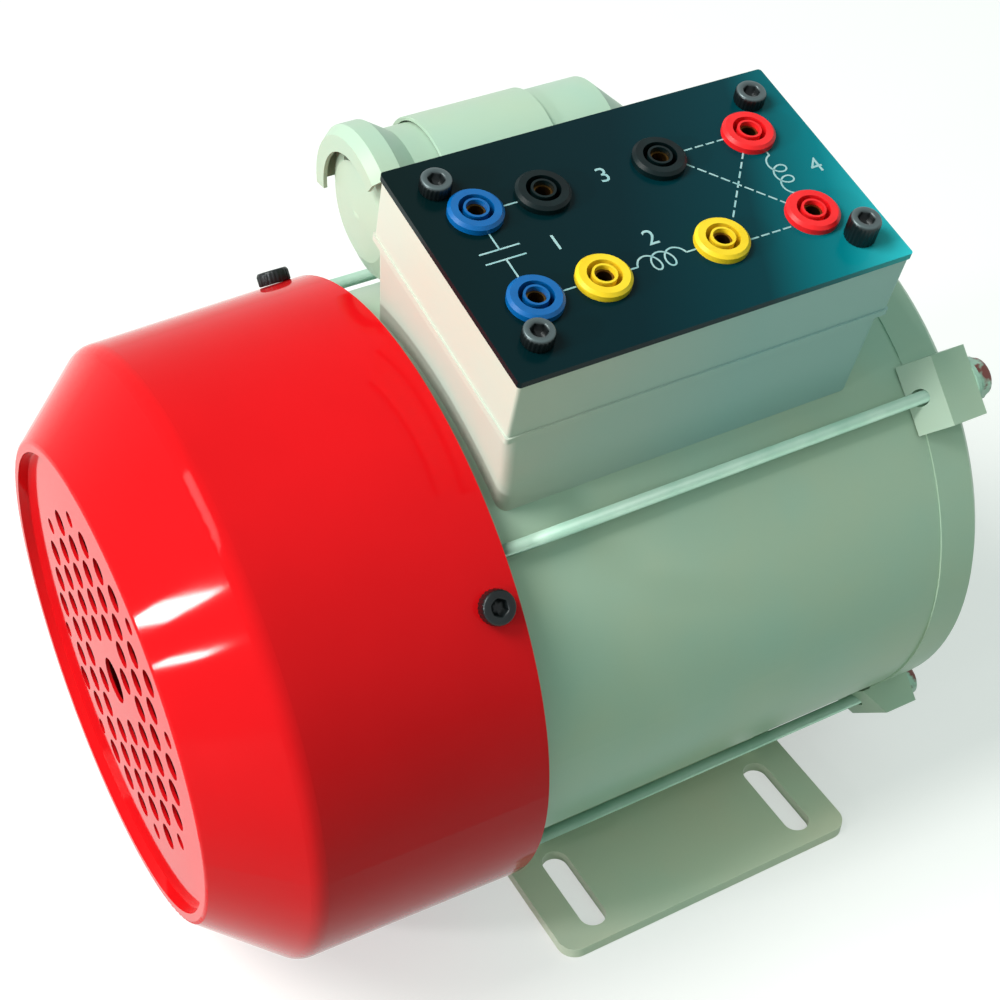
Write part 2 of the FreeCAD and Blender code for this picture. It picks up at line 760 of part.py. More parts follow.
def make_fan_shield():
    shield = new_body("fan_shield_casting", turn="-bolt_angle")
    inner = "yoke_radius - yoke_wall - running_gap"
    back = "yoke_fan_end - shield_depth"
    turned(shield, [[
        ("fan_bearing_outer", "fan_hub_inner"), ("fan_bearing_outer", "fan_bearing_start"),
        ("fan_bearing_bore + play", "fan_bearing_start"), ("fan_bearing_bore + play", "fan_hub_outer"),
        ("fan_hub_radius", "fan_hub_outer"), ("fan_hub_radius", back),
        ("shield_radius - shield_edge", back), ("shield_radius", f"{back} + shield_edge"),
        ("shield_radius", "yoke_fan_end"), (inner, "yoke_fan_end"),
        (inner, "yoke_fan_end + spigot_length"), (f"{inner} - spigot_wall", "yoke_fan_end + spigot_length"),
        (f"{inner} - spigot_wall", f"{back} + shield_face"), ("fan_hub_radius", f"{back} + shield_face"),
        ("fan_hub_radius", "fan_hub_inner")]])
    root = "shield_radius - spigot_wall"
    lug = pad(shield, "XZ", back, "yoke_fan_end", [[
        (root, "-fan_lug_far"), ("sqrt(fan_lug_radius^2 - fan_lug_far^2)", "-fan_lug_far", "fan_lug_radius"),
        ("sqrt(fan_lug_radius^2 - fan_lug_near^2)", "fan_lug_near"), (root, "fan_lug_near")]])
    tapped = pocket(shield, "XZ", back, "yoke_fan_end", [],
                    [("bolt_circle", "0", "bolt_radius + running_gap")])
    around(shield, [lug, tapped], "4")
    boss_foot = f"{back} + shield_face/2"
    bosses = [(f"{side} * board_boss_place", "board_boss_height", "board_boss_radius") for side in (-1, 1)]
    screws = [(f"{side} * board_boss_place", "board_boss_height", "board_screw_radius + running_gap")
              for side in (-1, 1)]
    boss_sketch_turn = "-bolt_angle"
    pad(shield, "XZ", boss_foot, "fan_hub_inner", [], bosses, boss_sketch_turn)
    pocket(shield, "XZ", f"{back} + shield_face", "fan_hub_inner", [], screws, boss_sketch_turn)
    screw_holes = cowl_screw_solid("cowl_screw_drill", "cowl_screw_radius + running_gap",
                                   "shield_radius - cowl_screw_reach", "fan_lug_radius + cowl_screw_relief")
    keep(cut("fan_end_shield", shield, [screw_holes]))


# ---------------------------------------------------------------------------------------------
# Tie bolts run from the drive end's lugs into the tapped lugs of the fan end.
# ---------------------------------------------------------------------------------------------
def hexagon(x, y, width):
    """Corners of a hexagon of the given width across its flats."""
    corner = f"({width})/sqrt(3)"
    half = f"({width})/2"
    return [
        (f"{x} - {corner}/2", f"{y} - {half}"), (f"{x} + {corner}/2", f"{y} - {half}"),
        (f"{x} + {corner}", y), (f"{x} + {corner}/2", f"{y} + {half}"),
        (f"{x} - {corner}/2", f"{y} + {half}"), (f"{x} - {corner}", y)]


def make_tie_bolts():
    face = "yoke_drive_end + shield_depth"
    seat = f"{face} + bolt_washer_thick"
    bolts = new_body("tie_bolts", turn="-bolt_angle")
    tip = "yoke_fan_end - bolt_engagement"
    shank = pad(bolts, "XZ", tip, seat, [], [("bolt_circle", "0", "bolt_radius")])
    hexagon_head = hexagon("bolt_circle", "0", "bolt_head_width")
    head = pad(bolts, "XZ", seat, f"{seat} + bolt_head_height", [hexagon_head])
    around(bolts, [shank, head], "4")
    keep(bolts)

    washers = new_body("tie_bolt_washers", turn="-bolt_angle")
    ring = pad(washers, "XZ", face, seat, [], [
        ("bolt_circle", "0", "bolt_washer_radius"), ("bolt_circle", "0", "bolt_radius + bolt_hole_play")])
    around(washers, [ring], "4")
    keep(washers)


# ---------------------------------------------------------------------------------------------
# Cowl: one deep pressing with a coned front, a recessed perforated disc and four side screws.
# ---------------------------------------------------------------------------------------------
def cowl_outside(place):
    """Outer radius of the cowl's tapered skirt at a place along the shaft."""
    return f"(cowl_rim_radius - (cowl_rim - ({place})) * cowl_slope)"


def cowl_screw_solid(label, radius, low, high):
    """Four radial cylinders where the cowl's screws are."""
    body = new_body(label, turn="cowl_screw_turn - bolt_angle")
    rod = pad(body, "YZ", low, high, [], [("cowl_screw_place", "0", radius)])
    around(body, [rod], "4")
    return body


HOLE_COLUMNS = 4  # holes on each side of the middle one, across and up
HOLE_REACH = 20  # the grid ends where column squared plus row squared passes this


def make_cowl():
    skin = new_body("cowl_skin")
    turned(skin, [[
        ("0", "cowl_rim"), ("0", "cowl_face"), ("cowl_disc_radius", "cowl_face"),
        ("cowl_crest_radius - cowl_crest_width", "cowl_crest"), ("cowl_crest_radius", "cowl_crest"),
        ("cowl_shoulder_radius", "cowl_shoulder"), ("cowl_rim_radius", "cowl_rim")]])
    round_edges(skin, "cowl_edge_round", [("cowl_shoulder_radius", "cowl_shoulder")])
    round_edges(skin, "cowl_crest_round", [("cowl_crest_radius", "cowl_crest")])
    document.recompute()
    solid = skin.Tip
    rim = [number for number, face in enumerate(solid.Shape.Faces, 1)
           if abs(face.BoundBox.YMin - value("cowl_rim")) + face.BoundBox.YLength < SAME_PLACE]
    shell = skin.newObject("PartDesign::Thickness", "cowl_shell")
    shell.Base = (solid, [f"Face{rim[0]}"])
    shell.Reversed = True
    tie(shell, "Value", "cowl_wall")
    holes = [("0", "0", "centre_hole_radius")]
    for column in range(-HOLE_COLUMNS, HOLE_COLUMNS + 1):
        for row in range(-HOLE_COLUMNS, HOLE_COLUMNS + 1):
            reach = column * column + row * row
            if 1 < reach <= HOLE_REACH:
                size = "hole_radius" if reach < HOLE_REACH else "small_hole_radius"
                holes.append((f"{column} * hole_pitch", f"{row} * hole_pitch", size))
    pocket(skin, "XZ", "cowl_face - cowl_wall", "cowl_face + 2*cowl_wall", [], holes, "hole_grid_turn")
    drill = cowl_screw_solid("cowl_screw_clearance", "cowl_screw_radius + play",
                             "cowl_shoulder_radius - 3*cowl_wall", "cowl_rim_radius + cowl_wall")
    keep(cut("fan_cowl", skin, [drill]))

    seat = cowl_outside("cowl_screw_place + cowl_screw_head_radius")
    screws = new_body("cowl_screws", turn="cowl_screw_turn - bolt_angle")
    shank = pad(screws, "YZ", f"{seat} - cowl_screw_length", seat, [], [
        ("cowl_screw_place", "0", "cowl_screw_radius")])
    head = pad(screws, "YZ", seat, f"{seat} + cowl_screw_head_height", [], [
        ("cowl_screw_place", "0", "cowl_screw_head_radius")])
    around(screws, [shank, head], "4")
    keep(screws)


# ---------------------------------------------------------------------------------------------
# Stator: slotted core, the run winding at the bottom of the slots and the start winding above.
# ---------------------------------------------------------------------------------------------
def slot_half_width(radius):
    """Half the width of a slot between parallel-sided teeth at a radius."""
    return f"(pi * ({radius})/slot_count - tooth_width/2)"


def make_stator():
    core = turned_piece(
        "stator_core", tube("stator_bore", "yoke_radius - yoke_wall", "core_fan_end", "core_drive_end"))
    shoulder = "stator_bore + slot_neck + 1"
    slot = pocket(core, "XZ", "core_fan_end", "core_drive_end", [[
        ("stator_bore - 1", "-slot_mouth/2"), ("stator_bore + slot_neck", "-slot_mouth/2"),
        (shoulder, f"-{slot_half_width(shoulder)}"), ("slot_bottom", f"-{slot_half_width('slot_bottom')}"),
        ("slot_bottom", slot_half_width("slot_bottom")), (shoulder, slot_half_width(shoulder)),
        ("stator_bore + slot_neck", "slot_mouth/2"), ("stator_bore - 1", "slot_mouth/2")]])
    around(core, [slot], "slot_count")
    keep(core)
    make_winding("run_winding", "run_inner", "slot_bottom - slot_liner", "run_outer")
    make_winding("start_winding", "start_inner", "start_outer", "(start_outer + slot_liner)")


def make_winding(label, low, high, end_radius):
    """Coil sides in the slots, joined by a lapped ring of end turns at each end."""
    winding = new_body(label)
    low_half = f"({slot_half_width(low)} - slot_liner)"
    high_half = f"({slot_half_width(high)} - slot_liner)"
    fan_face = "(core_fan_end - end_insulation)"
    drive_face = "(core_drive_end + end_insulation)"
    turned(winding, [
        chamfered(f"{low} - slot_liner", end_radius, "core_fan_end - winding_overhang", fan_face,
                  "end_turn_chamfer"),
        chamfered(f"{low} - slot_liner", end_radius, drive_face, "core_drive_end + winding_overhang",
                  "end_turn_chamfer")])
    side = pad(winding, "XZ", f"{fan_face} - 2*end_turn_chamfer", f"{drive_face} + 2*end_turn_chamfer", [[
        (low, f"-{low_half}"), (high, f"-{high_half}"), (high, high_half), (low, low_half)]])
    around(winding, [side], "slot_count")
    keep(winding)


# ---------------------------------------------------------------------------------------------
# Rotor: laminated core, and the cast cage that fills its slots and closes them with end rings.
# ---------------------------------------------------------------------------------------------
def bar_outline():
    """Section of one cage bar, wide at the outside."""
    outer = "stator_bore - air_gap - bar_outer_gap"
    return [
        (f"{outer} - bar_depth", "-bar_narrow/2"), (outer, "-bar_wide/2"),
        (outer, "bar_wide/2"), (f"{outer} - bar_depth", "bar_narrow/2")]


def make_rotor():
    core = turned_piece(
        "rotor_core", tube("rotor_seat_radius", "stator_bore - air_gap", "core_fan_end", "core_drive_end"))
    slot = pocket(core, "XZ", "core_fan_end", "core_drive_end", [bar_outline()])
    around(core, [slot], "bar_count")
    keep(core)

    cage = new_body("rotor_cage")
    bar = pad(cage, "XZ", "core_fan_end - end_ring_thick/2", "core_drive_end + end_ring_thick/2",
              [bar_outline()])
    around(cage, [bar], "bar_count")
    outer = "stator_bore - air_gap - bar_outer_gap/2"
    turned(cage, [
        tube("end_ring_inner", outer, "core_fan_end - end_ring_thick", "core_fan_end"),
        tube("end_ring_inner", outer, "core_drive_end", "core_drive_end + end_ring_thick")])
    paddle = pad(cage, "XZ", "core_drive_end + end_ring_thick - paddle_root",
                 "core_drive_end + end_ring_thick + paddle_height", [
        box_outline("end_ring_inner + paddle_inset", f"{outer} - paddle_rim_gap",
                    "-paddle_thick/2", "paddle_thick/2")])
    around(cage, [paddle], "paddle_count")
    keep(cage)


# ---------------------------------------------------------------------------------------------
# Shaft, with a seat for each piece it carries, its key, and a retaining-ring groove that parts
# the keyed seat from the plain tip.
# ---------------------------------------------------------------------------------------------
def make_shaft():
    shaft = new_body("motor_shaft")
    groove_front = "fan_hub_front - circlip_thick"
    groove = "fan_seat_radius - circlip_groove_depth"
    tip_groove = "drive_shaft_radius - tip_groove_depth"
    tip_groove_start = "plain_tip_start - tip_groove_width"
    turned(shaft, [[
        ("0", "shaft_fan_tip + 2*centre_drill_radius"), ("centre_drill_radius", "shaft_fan_tip"),
        ("fan_seat_radius - shaft_end_chamfer", "shaft_fan_tip"),
        ("fan_seat_radius", "shaft_fan_tip + shaft_end_chamfer"),
        ("fan_seat_radius", groove_front), (groove, groove_front),
        (groove, "fan_hub_front"), ("fan_seat_radius", "fan_hub_front"),
        ("fan_seat_radius", "fan_seat_end"), ("fan_bearing_bore", "fan_seat_end"),
        ("fan_bearing_bore", "fan_bearing_start + fan_bearing_width"),
        ("governor_seat_radius", "fan_bearing_start + fan_bearing_width"),
        ("governor_seat_radius", "governor_seat_end"), ("rotor_seat_radius", "governor_seat_end"),
        ("rotor_seat_radius", "rotor_seat_drive_end"), ("drive_neck_radius", "rotor_seat_drive_end"),
        ("drive_neck_radius", "drive_bearing_start"), ("drive_bearing_bore", "drive_bearing_start"),
        ("drive_bearing_bore", "drive_shaft_start"), ("drive_shaft_radius", "drive_shaft_start"),
        ("drive_shaft_radius", tip_groove_start), (tip_groove, tip_groove_start),
        (tip_groove, "plain_tip_start"), ("drive_shaft_radius", "plain_tip_start"),
        ("drive_shaft_radius", "shaft_drive_tip - shaft_end_chamfer"),
        ("drive_shaft_radius - shaft_end_chamfer", "shaft_drive_tip"),
        ("centre_drill_radius", "shaft_drive_tip"), ("0", "shaft_drive_tip - 2*centre_drill_radius")]])
    middle = "key_start + key_length/2"
    seat = "drive_shaft_radius - key_seat_depth"
    pocket(shaft, "XY", seat, "drive_shaft_radius + 1", [
        slot_outline("0", middle, "key_length", "key_width", upright=True)])
    keep(shaft)

    key = new_body("shaft_key")
    pad(key, "XY", seat, f"{seat} + key_height", [
        slot_outline("0", middle, "key_length", "key_width", upright=True)])
    keep(key)


# ---------------------------------------------------------------------------------------------
# Ball bearings: a grooved ring in the shield, a grooved ring on the shaft and balls between.
# ---------------------------------------------------------------------------------------------
def make_bearing(end):
    start = f"{end}_bearing_start"
    finish = f"{start} + {end}_bearing_width"
    middle = f"({start} + {end}_bearing_width/2)"
    groove = f"({end}_ball_radius + running_gap)"
    circle = f"{end}_ball_circle"
    shoulder = f"{end}_outer_shoulder"
    chord = f"sqrt({groove}^2 - ({shoulder} - {circle})^2)"
    keep(turned_piece(f"{end}_bearing_outer_ring", [
        (shoulder, start), (f"{end}_bearing_outer", start),
        (f"{end}_bearing_outer", finish), (shoulder, finish),
        (shoulder, f"{middle} + {chord}", groove, "right"), (shoulder, f"{middle} - {chord}")]))
    shoulder = f"{end}_inner_shoulder"
    chord = f"sqrt({groove}^2 - ({circle} - {shoulder})^2)"
    keep(turned_piece(f"{end}_bearing_inner_ring", [
        (f"{end}_bearing_bore", start), (shoulder, start),
        (shoulder, f"{middle} - {chord}", groove, "right"), (shoulder, f"{middle} + {chord}"),
        (shoulder, finish), (f"{end}_bearing_bore", finish)]))
    balls = new_body(f"{end}_bearing_balls")
    ball = balls.newObject("PartDesign::AdditiveSphere", f"{end}_ball")
    ball.AttachmentSupport = [(origin_part(balls, "XY_Plane"), "")]
    ball.MapMode = "FlatFace"
    tie(ball, "Radius", f"{end}_ball_radius")
    tie(ball, "AttachmentOffset.Base.x", circle)
    tie(ball, "AttachmentOffset.Base.y", middle)
    around(balls, [ball], "ball_count")
    keep(balls)


def make_bearing_cage(end):
    """The band between the rings that keeps the balls apart."""
    middle = f"({end}_bearing_start + {end}_bearing_width/2)"
    circle = f"{end}_ball_circle"
    cage = new_body(f"{end}_bearing_cage")
    turned(cage, [tube(f"{circle} - cage_thick/2", f"{circle} + cage_thick/2", f"{middle} - cage_half_width",
                       f"{middle} + cage_half_width")])
    pocket_round = pocket(cage, "YZ", "0", f"{circle} + cage_thick", [], [
        (middle, "0", f"{end}_ball_radius + play/2")])
    around(cage, [pocket_round], "ball_count")
    keep(cage)


def make_preload_washer():
    seat = "drive_bearing_start + drive_bearing_width"
    keep(turned_piece("preload_washer", tube(
        "drive_outer_shoulder + play", "drive_bearing_outer - play", seat, f"{seat} + preload_thick")))


# ---------------------------------------------------------------------------------------------
# Cooling fan on the shaft's fan end, held by a circlip.
# ---------------------------------------------------------------------------------------------
def make_cooling_fan():
    fan = new_body("cooling_fan")
    turned(fan, [[
        ("fan_seat_radius", "fan_hub_front"), ("fan_hub_size", "fan_hub_front"),
        ("fan_hub_size", "fan_plate_back - fan_plate_thick"),
        ("fan_plate_radius", "fan_plate_back - fan_plate_thick"), ("fan_plate_radius", "fan_plate_back"),
        ("fan_hub_size", "fan_plate_back"), ("fan_hub_size", "fan_seat_end"),
        ("fan_seat_radius", "fan_seat_end")]])
    blade = pad(fan, "XZ", "blade_front", "fan_plate_back - fan_plate_thick/2", [[
        ("blade_root", "-blade_thick/2"), ("blade_tip", "-blade_thick/3"),
        ("blade_tip", "blade_thick/3"), ("blade_root", "blade_thick/2")]])
    around(fan, [blade], "blade_count")
    keep(fan)

    clip = new_body("fan_circlip")
    front = "fan_hub_front - circlip_thick"
    pad(clip, "XZ", front, "fan_hub_front", [], [
        ("0", "0", "circlip_outer"), ("0", "0", "fan_seat_radius - circlip_groove_depth")])
    pocket(clip, "XZ", front, "fan_hub_front", [
        box_outline("-circlip_opening/2", "circlip_opening/2", "0", "circlip_outer + 1")])
    keep(clip)


# ---------------------------------------------------------------------------------------------
# Governor: two weights on a plate, turning about pins, push the collar along the shaft.
# ---------------------------------------------------------------------------------------------
def make_governor():
    plate = turned_piece(
        "governor_plate", tube("governor_seat_radius", "governor_plate_radius",
                                    "plate_back - governor_plate_thick", "plate_back"))
    ear_foot = "(governor_plate_radius - ear_root)"
    ear_top = "pivot_radius + ear_reach"
    for side in (-1, 1):
        place = f"{side} * (ear_inner_half + ear_thick/2)"
        for up in (-1, 1):
            ear = box_outline("pivot_place - ear_reach", "plate_back",
                              f"{up} * {ear_foot}", f"{up} * ({ear_top})")
            pad(plate, "YZ", f"{place} - ear_thick/2", f"{place} + ear_thick/2", [ear])
    for up in (-1, 1):
        pad(plate, "YZ", "-(ear_inner_half + ear_thick)", "ear_inner_half + ear_thick", [], [
            ("pivot_place", f"{up} * pivot_radius", "pivot_pin_radius")])
    keep(plate)

    make_weight("governor_weight_a", "0")
    make_weight("governor_weight_b", "180")

    groove_far = "pivot_place - collar_groove_half"
    groove_near = "pivot_place + collar_groove_half"
    inner = "governor_seat_radius + running_gap"
    thrust_back = "thrust_front + thrust_thick"
    keep(turned_piece("governor_collar", [
        (inner, "thrust_front"), ("thrust_radius", "thrust_front"), ("thrust_radius", thrust_back),
        ("collar_sleeve_radius", thrust_back), ("collar_sleeve_radius", f"{groove_far} - collar_rib"),
        ("collar_rib_radius", f"{groove_far} - collar_rib"), ("collar_rib_radius", groove_far),
        ("collar_sleeve_radius", groove_far), ("collar_sleeve_radius", groove_near),
        ("collar_rib_radius", groove_near), ("collar_rib_radius", f"{groove_near} + collar_rib"),
        ("collar_sleeve_radius", f"{groove_near} + collar_rib"), ("collar_sleeve_radius", "collar_end"),
        (inner, "collar_end")]))
    make_springs()


def make_weight(label, turn):
    """A weight: an arc-shaped mass, the lug it turns on and the finger that moves the collar."""
    weight = new_body(label, turn=turn) if turn != "0" else new_body(label)
    across_in = "weight_inner * sin(weight_half_angle)"
    up_in = "weight_inner * cos(weight_half_angle)"
    across_out = "weight_outer * sin(weight_half_angle)"
    up_out = "weight_outer * cos(weight_half_angle)"
    pad(weight, "XZ", "weight_front", "weight_back", [[
        (f"-{across_in}", up_in, "weight_inner", "right"), (across_in, up_in),
        (across_out, up_out, "weight_outer"), (f"-{across_out}", up_out)]])
    pad(weight, "YZ", "-weight_lug_half", "weight_lug_half", [
        box_outline("pivot_place - finger_half_thick", "pivot_place + 3*finger_half_thick",
                    "pivot_radius - 3*pivot_pin_radius", "weight_inner + lug_root")])
    pad(weight, "YZ", "-weight_lug_half/2", "weight_lug_half/2", [
        box_outline("pivot_place - finger_half_thick", "pivot_place + finger_half_thick",
                    "finger_tip", "pivot_radius - 2*pivot_pin_radius")])
    pocket(weight, "YZ", "-weight_lug_half", "weight_lug_half", [], [
        ("pivot_place", "pivot_radius", "pivot_pin_radius + running_gap")])
    keep(weight)


def make_springs():
    """The two return springs between the weights' ends, as their close-wound outer form."""
    springs = new_body("governor_springs")
    middle = "(weight_front + weight_back)/2"
    reach = "((spring_place - spring_radius)/tan(weight_half_angle) - play)"
    for side in (-1, 1):
        pad(springs, "XY", f"-{reach}", reach, [], [(f"{side} * spring_place", middle, "spring_radius")])
    keep(springs)


# ---------------------------------------------------------------------------------------------
# Starting switch: an insulating board on the fan end shield, its contacts and the rocking arm.
# ---------------------------------------------------------------------------------------------
def make_switch():
    board_face = "(fan_hub_inner + board_thick)"
    board = new_body("switch_board")
    corner = "board_thick"
    screws = [(f"{side} * board_boss_place", "board_boss_height", "board_screw_radius + play")
              for side in (-1, 1)]
    pad(board, "XZ", "fan_hub_inner", board_face, [
        box_outline("-board_half_width", "board_half_width", "board_bottom", "board_top", corner)], screws)
    keep(board)

    fixings = new_body("switch_board_screws")
    places = [(f"{side} * board_boss_place", "board_boss_height") for side in (-1, 1)]
    pad(fixings, "XZ", "fan_hub_inner - board_screw_reach", board_face, [], [
        (x, z, "board_screw_radius") for x, z in places])
    pad(fixings, "XZ", board_face, f"{board_face} + board_screw_head_height", [], [
        (x, z, "board_screw_head_radius") for x, z in places])
    keep(fixings)

    arm_back = "(thrust_front - play)"
    arm_front = f"({arm_back} - arm_thick)"
    terminals = new_body("switch_terminals")
    tab_face = f"{board_face} + terminal_thick"
    strip_place = "board_half_width/3"
    pad(terminals, "XZ", board_face, tab_face, [
        box_outline("-terminal_half_width", "terminal_half_width",
                    "contact_height - contact_radius - terminal_margin",
                    "contact_height + contact_radius + terminal_margin"),
        box_outline(f"-{strip_place} - terminal_half_width", f"-{strip_place} + terminal_half_width",
                    "arm_pivot - pivot_strip_half", "terminal_top")])
    pad(terminals, "XZ", tab_face, f"{arm_front} - contact_radius/2 - play", [], [
        ("0", "contact_height", "contact_radius")])
    ear_in = "(arm_half_width + play)"
    for side in (-1, 1):
        middle = f"{side} * ({ear_in} + terminal_thick/2)"
        pad(terminals, "YZ", f"{middle} - terminal_thick/2", f"{middle} + terminal_thick/2", [
            box_outline(board_face, f"{arm_front} + 1.5*arm_pin_radius", "arm_pivot - pivot_tab_half",
                        "arm_pivot + pivot_tab_half")])
    pad(terminals, "YZ", f"-({ear_in} + terminal_thick)", f"{ear_in} + terminal_thick", [], [
        (arm_front, "arm_pivot", "arm_pin_radius")])
    keep(terminals)
    make_contact_arm(arm_front, arm_back)


def make_contact_arm(arm_front, arm_back):
    """The leaf that rests on the collar's thrust flange and carries the moving contact."""
    arm = new_body("contact_arm")
    pad(arm, "XZ", arm_front, arm_back, [
        box_outline("-arm_half_width", "arm_half_width", "arm_pad_height - pivot_tab_half", "arm_pivot")])
    pad(arm, "XZ", f"{arm_front} - contact_radius/2", arm_front, [], [
        ("0", "contact_height", "contact_radius")])
    pad(arm, "YZ", "-arm_half_width", "arm_half_width", [], [(arm_front, "arm_pivot", "arm_knuckle_radius")])
    pocket(arm, "YZ", "-arm_half_width", "arm_half_width", [], [
        (arm_front, "arm_pivot", "arm_pin_radius + running_gap")])
    keep(arm)


# ---------------------------------------------------------------------------------------------
# Terminal box: a tapering base seated on the yoke, a cover with a bead, a gasket and the panel.
# ---------------------------------------------------------------------------------------------
def panel_middle():
    """Place of the panel's centre along the shaft."""
    return "((panel_fan_end + panel_drive_end)/2)"


def loft(body, kind, low, high, low_outline, high_outline):
    """Add or remove a straight-sided form between two outlines at two heights."""
    bottom = fill(new_sketch(body, "XY", low), [low_outline])
    top = fill(new_sketch(body, "XY", high), [high_outline])
    feature = body.newObject(f"PartDesign::{kind}", f"{body.Label}_loft")
    feature.Profile = (bottom, [""])
    feature.Sections = [(top, [""])]
    feature.Ruled = True
    return feature


def make_box_base():
    base = box_body("box_walls")
    foot = "(yoke_radius - box_foot_depth)"
    top = "(panel_top - panel_thick - gasket_thick - cover_height)"
    half = "(panel_half_width - box_inset)"
    fan_wall = "(panel_fan_end + box_inset)"
    drive_wall = "(panel_drive_end - box_inset)"

    def level(inset, lean):
        return box_outline(f"-({half} - {inset})", f"{half} - {inset}", f"{fan_wall} + {inset} + {lean}",
                           f"{drive_wall} - {inset}", f"(box_corner - {inset}/2)")

    loft(base, "AdditiveLoft", foot, top, level("0", "box_lean"), level("0", "0"))
    loft(base, "SubtractiveLoft", foot, top, level("box_wall", "box_lean"), level("box_wall", "0"))
    pillars = [(f"{x} * pillar_across", f"{panel_middle()} + {y} * pillar_along", "pillar_radius")
               for x in (-1, 1) for y in (-1, 1)]
    entry = "(capacitor_across * sin(box_tilt) + (capacitor_height - shaft_height) * cos(box_tilt))"
    pocket(base, "YZ", f"-({half} + box_wall)", f"-({half} - 2*box_wall)", [], [
        ("bracket_place", entry, "nipple_radius + running_gap")])
    pillar_top = "panel_top - panel_thick"
    pad(base, "XY", foot, pillar_top, [], pillars)
    web_half = f"({half} - pillar_across)/2"
    for x in (-1, 1):
        for y in (-1, 1):
            place = f"({panel_middle()} + {y} * pillar_along)"
            middle = f"{x} * (pillar_across + {half})/2"
            web = box_outline(f"{middle} - {web_half}", f"{middle} + {web_half}",
                              f"{place} - box_wall/2", f"{place} + box_wall/2")
            pad(base, "XY", foot, top, [web])
    taps = [(x, y, "panel_screw_radius + running_gap") for x, y, radius in pillars]
    pocket(base, "XY", f"{pillar_top} - panel_screw_length", pillar_top, [], taps)
    seat = turned_piece("yoke_envelope", tube("play", "yoke_radius", "2*panel_fan_end", "2*panel_drive_end"))
    keep(cut("terminal_box_base", base, [seat]))


def rounded_panel(inset):
    """The panel's outline, drawn in by a distance."""
    return box_outline(f"-(panel_half_width - {inset})", f"panel_half_width - {inset}",
                       f"panel_fan_end + {inset}", f"panel_drive_end - {inset}", "panel_corner")


def make_box_top():
    gasket_low = "(panel_top - panel_thick - gasket_thick)"
    cover_low = f"({gasket_low} - cover_height)"
    cover = box_body("terminal_box_cover")
    pad(cover, "XY", cover_low, gasket_low, [
        rounded_panel("cover_inset"), rounded_panel("(cover_inset + box_wall)")])
    pad(cover, "XY", cover_low, f"{cover_low} + bead_height", [
        rounded_panel("(cover_inset - bead_proud)"), rounded_panel("(cover_inset + box_wall/2)")])
    keep(cover)

    gasket = box_body("panel_gasket")
    pad(gasket, "XY", gasket_low, "panel_top - panel_thick", [
        rounded_panel("cover_inset"), rounded_panel("(cover_inset + gasket_width)")])
    keep(gasket)

    panel = box_body("terminal_panel")
    screws = [(f"{x} * pillar_across", f"{panel_middle()} + {y} * pillar_along", "panel_screw_radius + play")
              for x in (-1, 1) for y in (-1, 1)]
    sockets = [(across, along, "socket_barrel_radius + running_gap")
               for name, across, along in socket_places()]
    pad(panel, "XY", "panel_top - panel_thick", "panel_top", [rounded_panel("0")], screws + sockets)
    keep(panel)

    screw = box_body("panel_screws")
    places = [(f"{x} * pillar_across", f"{panel_middle()} + {y} * pillar_along")
              for x in (-1, 1) for y in (-1, 1)]
    pad(screw, "XY", "panel_top - panel_screw_length", "panel_top", [], [
        (x, y, "panel_screw_radius") for x, y in places])
    pad(screw, "XY", "panel_top", "panel_top + panel_screw_head_height", [], [
        (x, y, "panel_screw_head_radius") for x, y in places])
    pocket(screw, "XY", "panel_top + panel_screw_head_height/2", "panel_top + panel_screw_head_height", [
        hexagon(x, y, "panel_screw_socket_width") for x, y in places])
    keep(screw)


# ---------------------------------------------------------------------------------------------
# Panel sockets: a flanged insulating body, a contact sleeve inside it, a nut and a solder tag.
# ---------------------------------------------------------------------------------------------
def socket_places():
    """Name and place of each socket in the box's directions, in two rows of four."""
    places = []
    far_row = [("blue", "socket_blue"), ("black", "socket_fan_side"), ("black", "socket_middle"),
               ("red", "socket_red")]
    near_row = [("blue", "socket_blue"), ("yellow", "socket_fan_side"), ("yellow", "socket_middle"),
                ("red", "socket_red")]
    counts = {}
    for side, row in (("-1", far_row), ("1", near_row)):
        for colour, place in row:
            counts[colour] = counts.get(colour, 0) + 1
            places.append((f"socket_{colour}_{counts[colour]}", f"({side} * row_across)",
                           f"({panel_middle()} + {place})"))
    return places


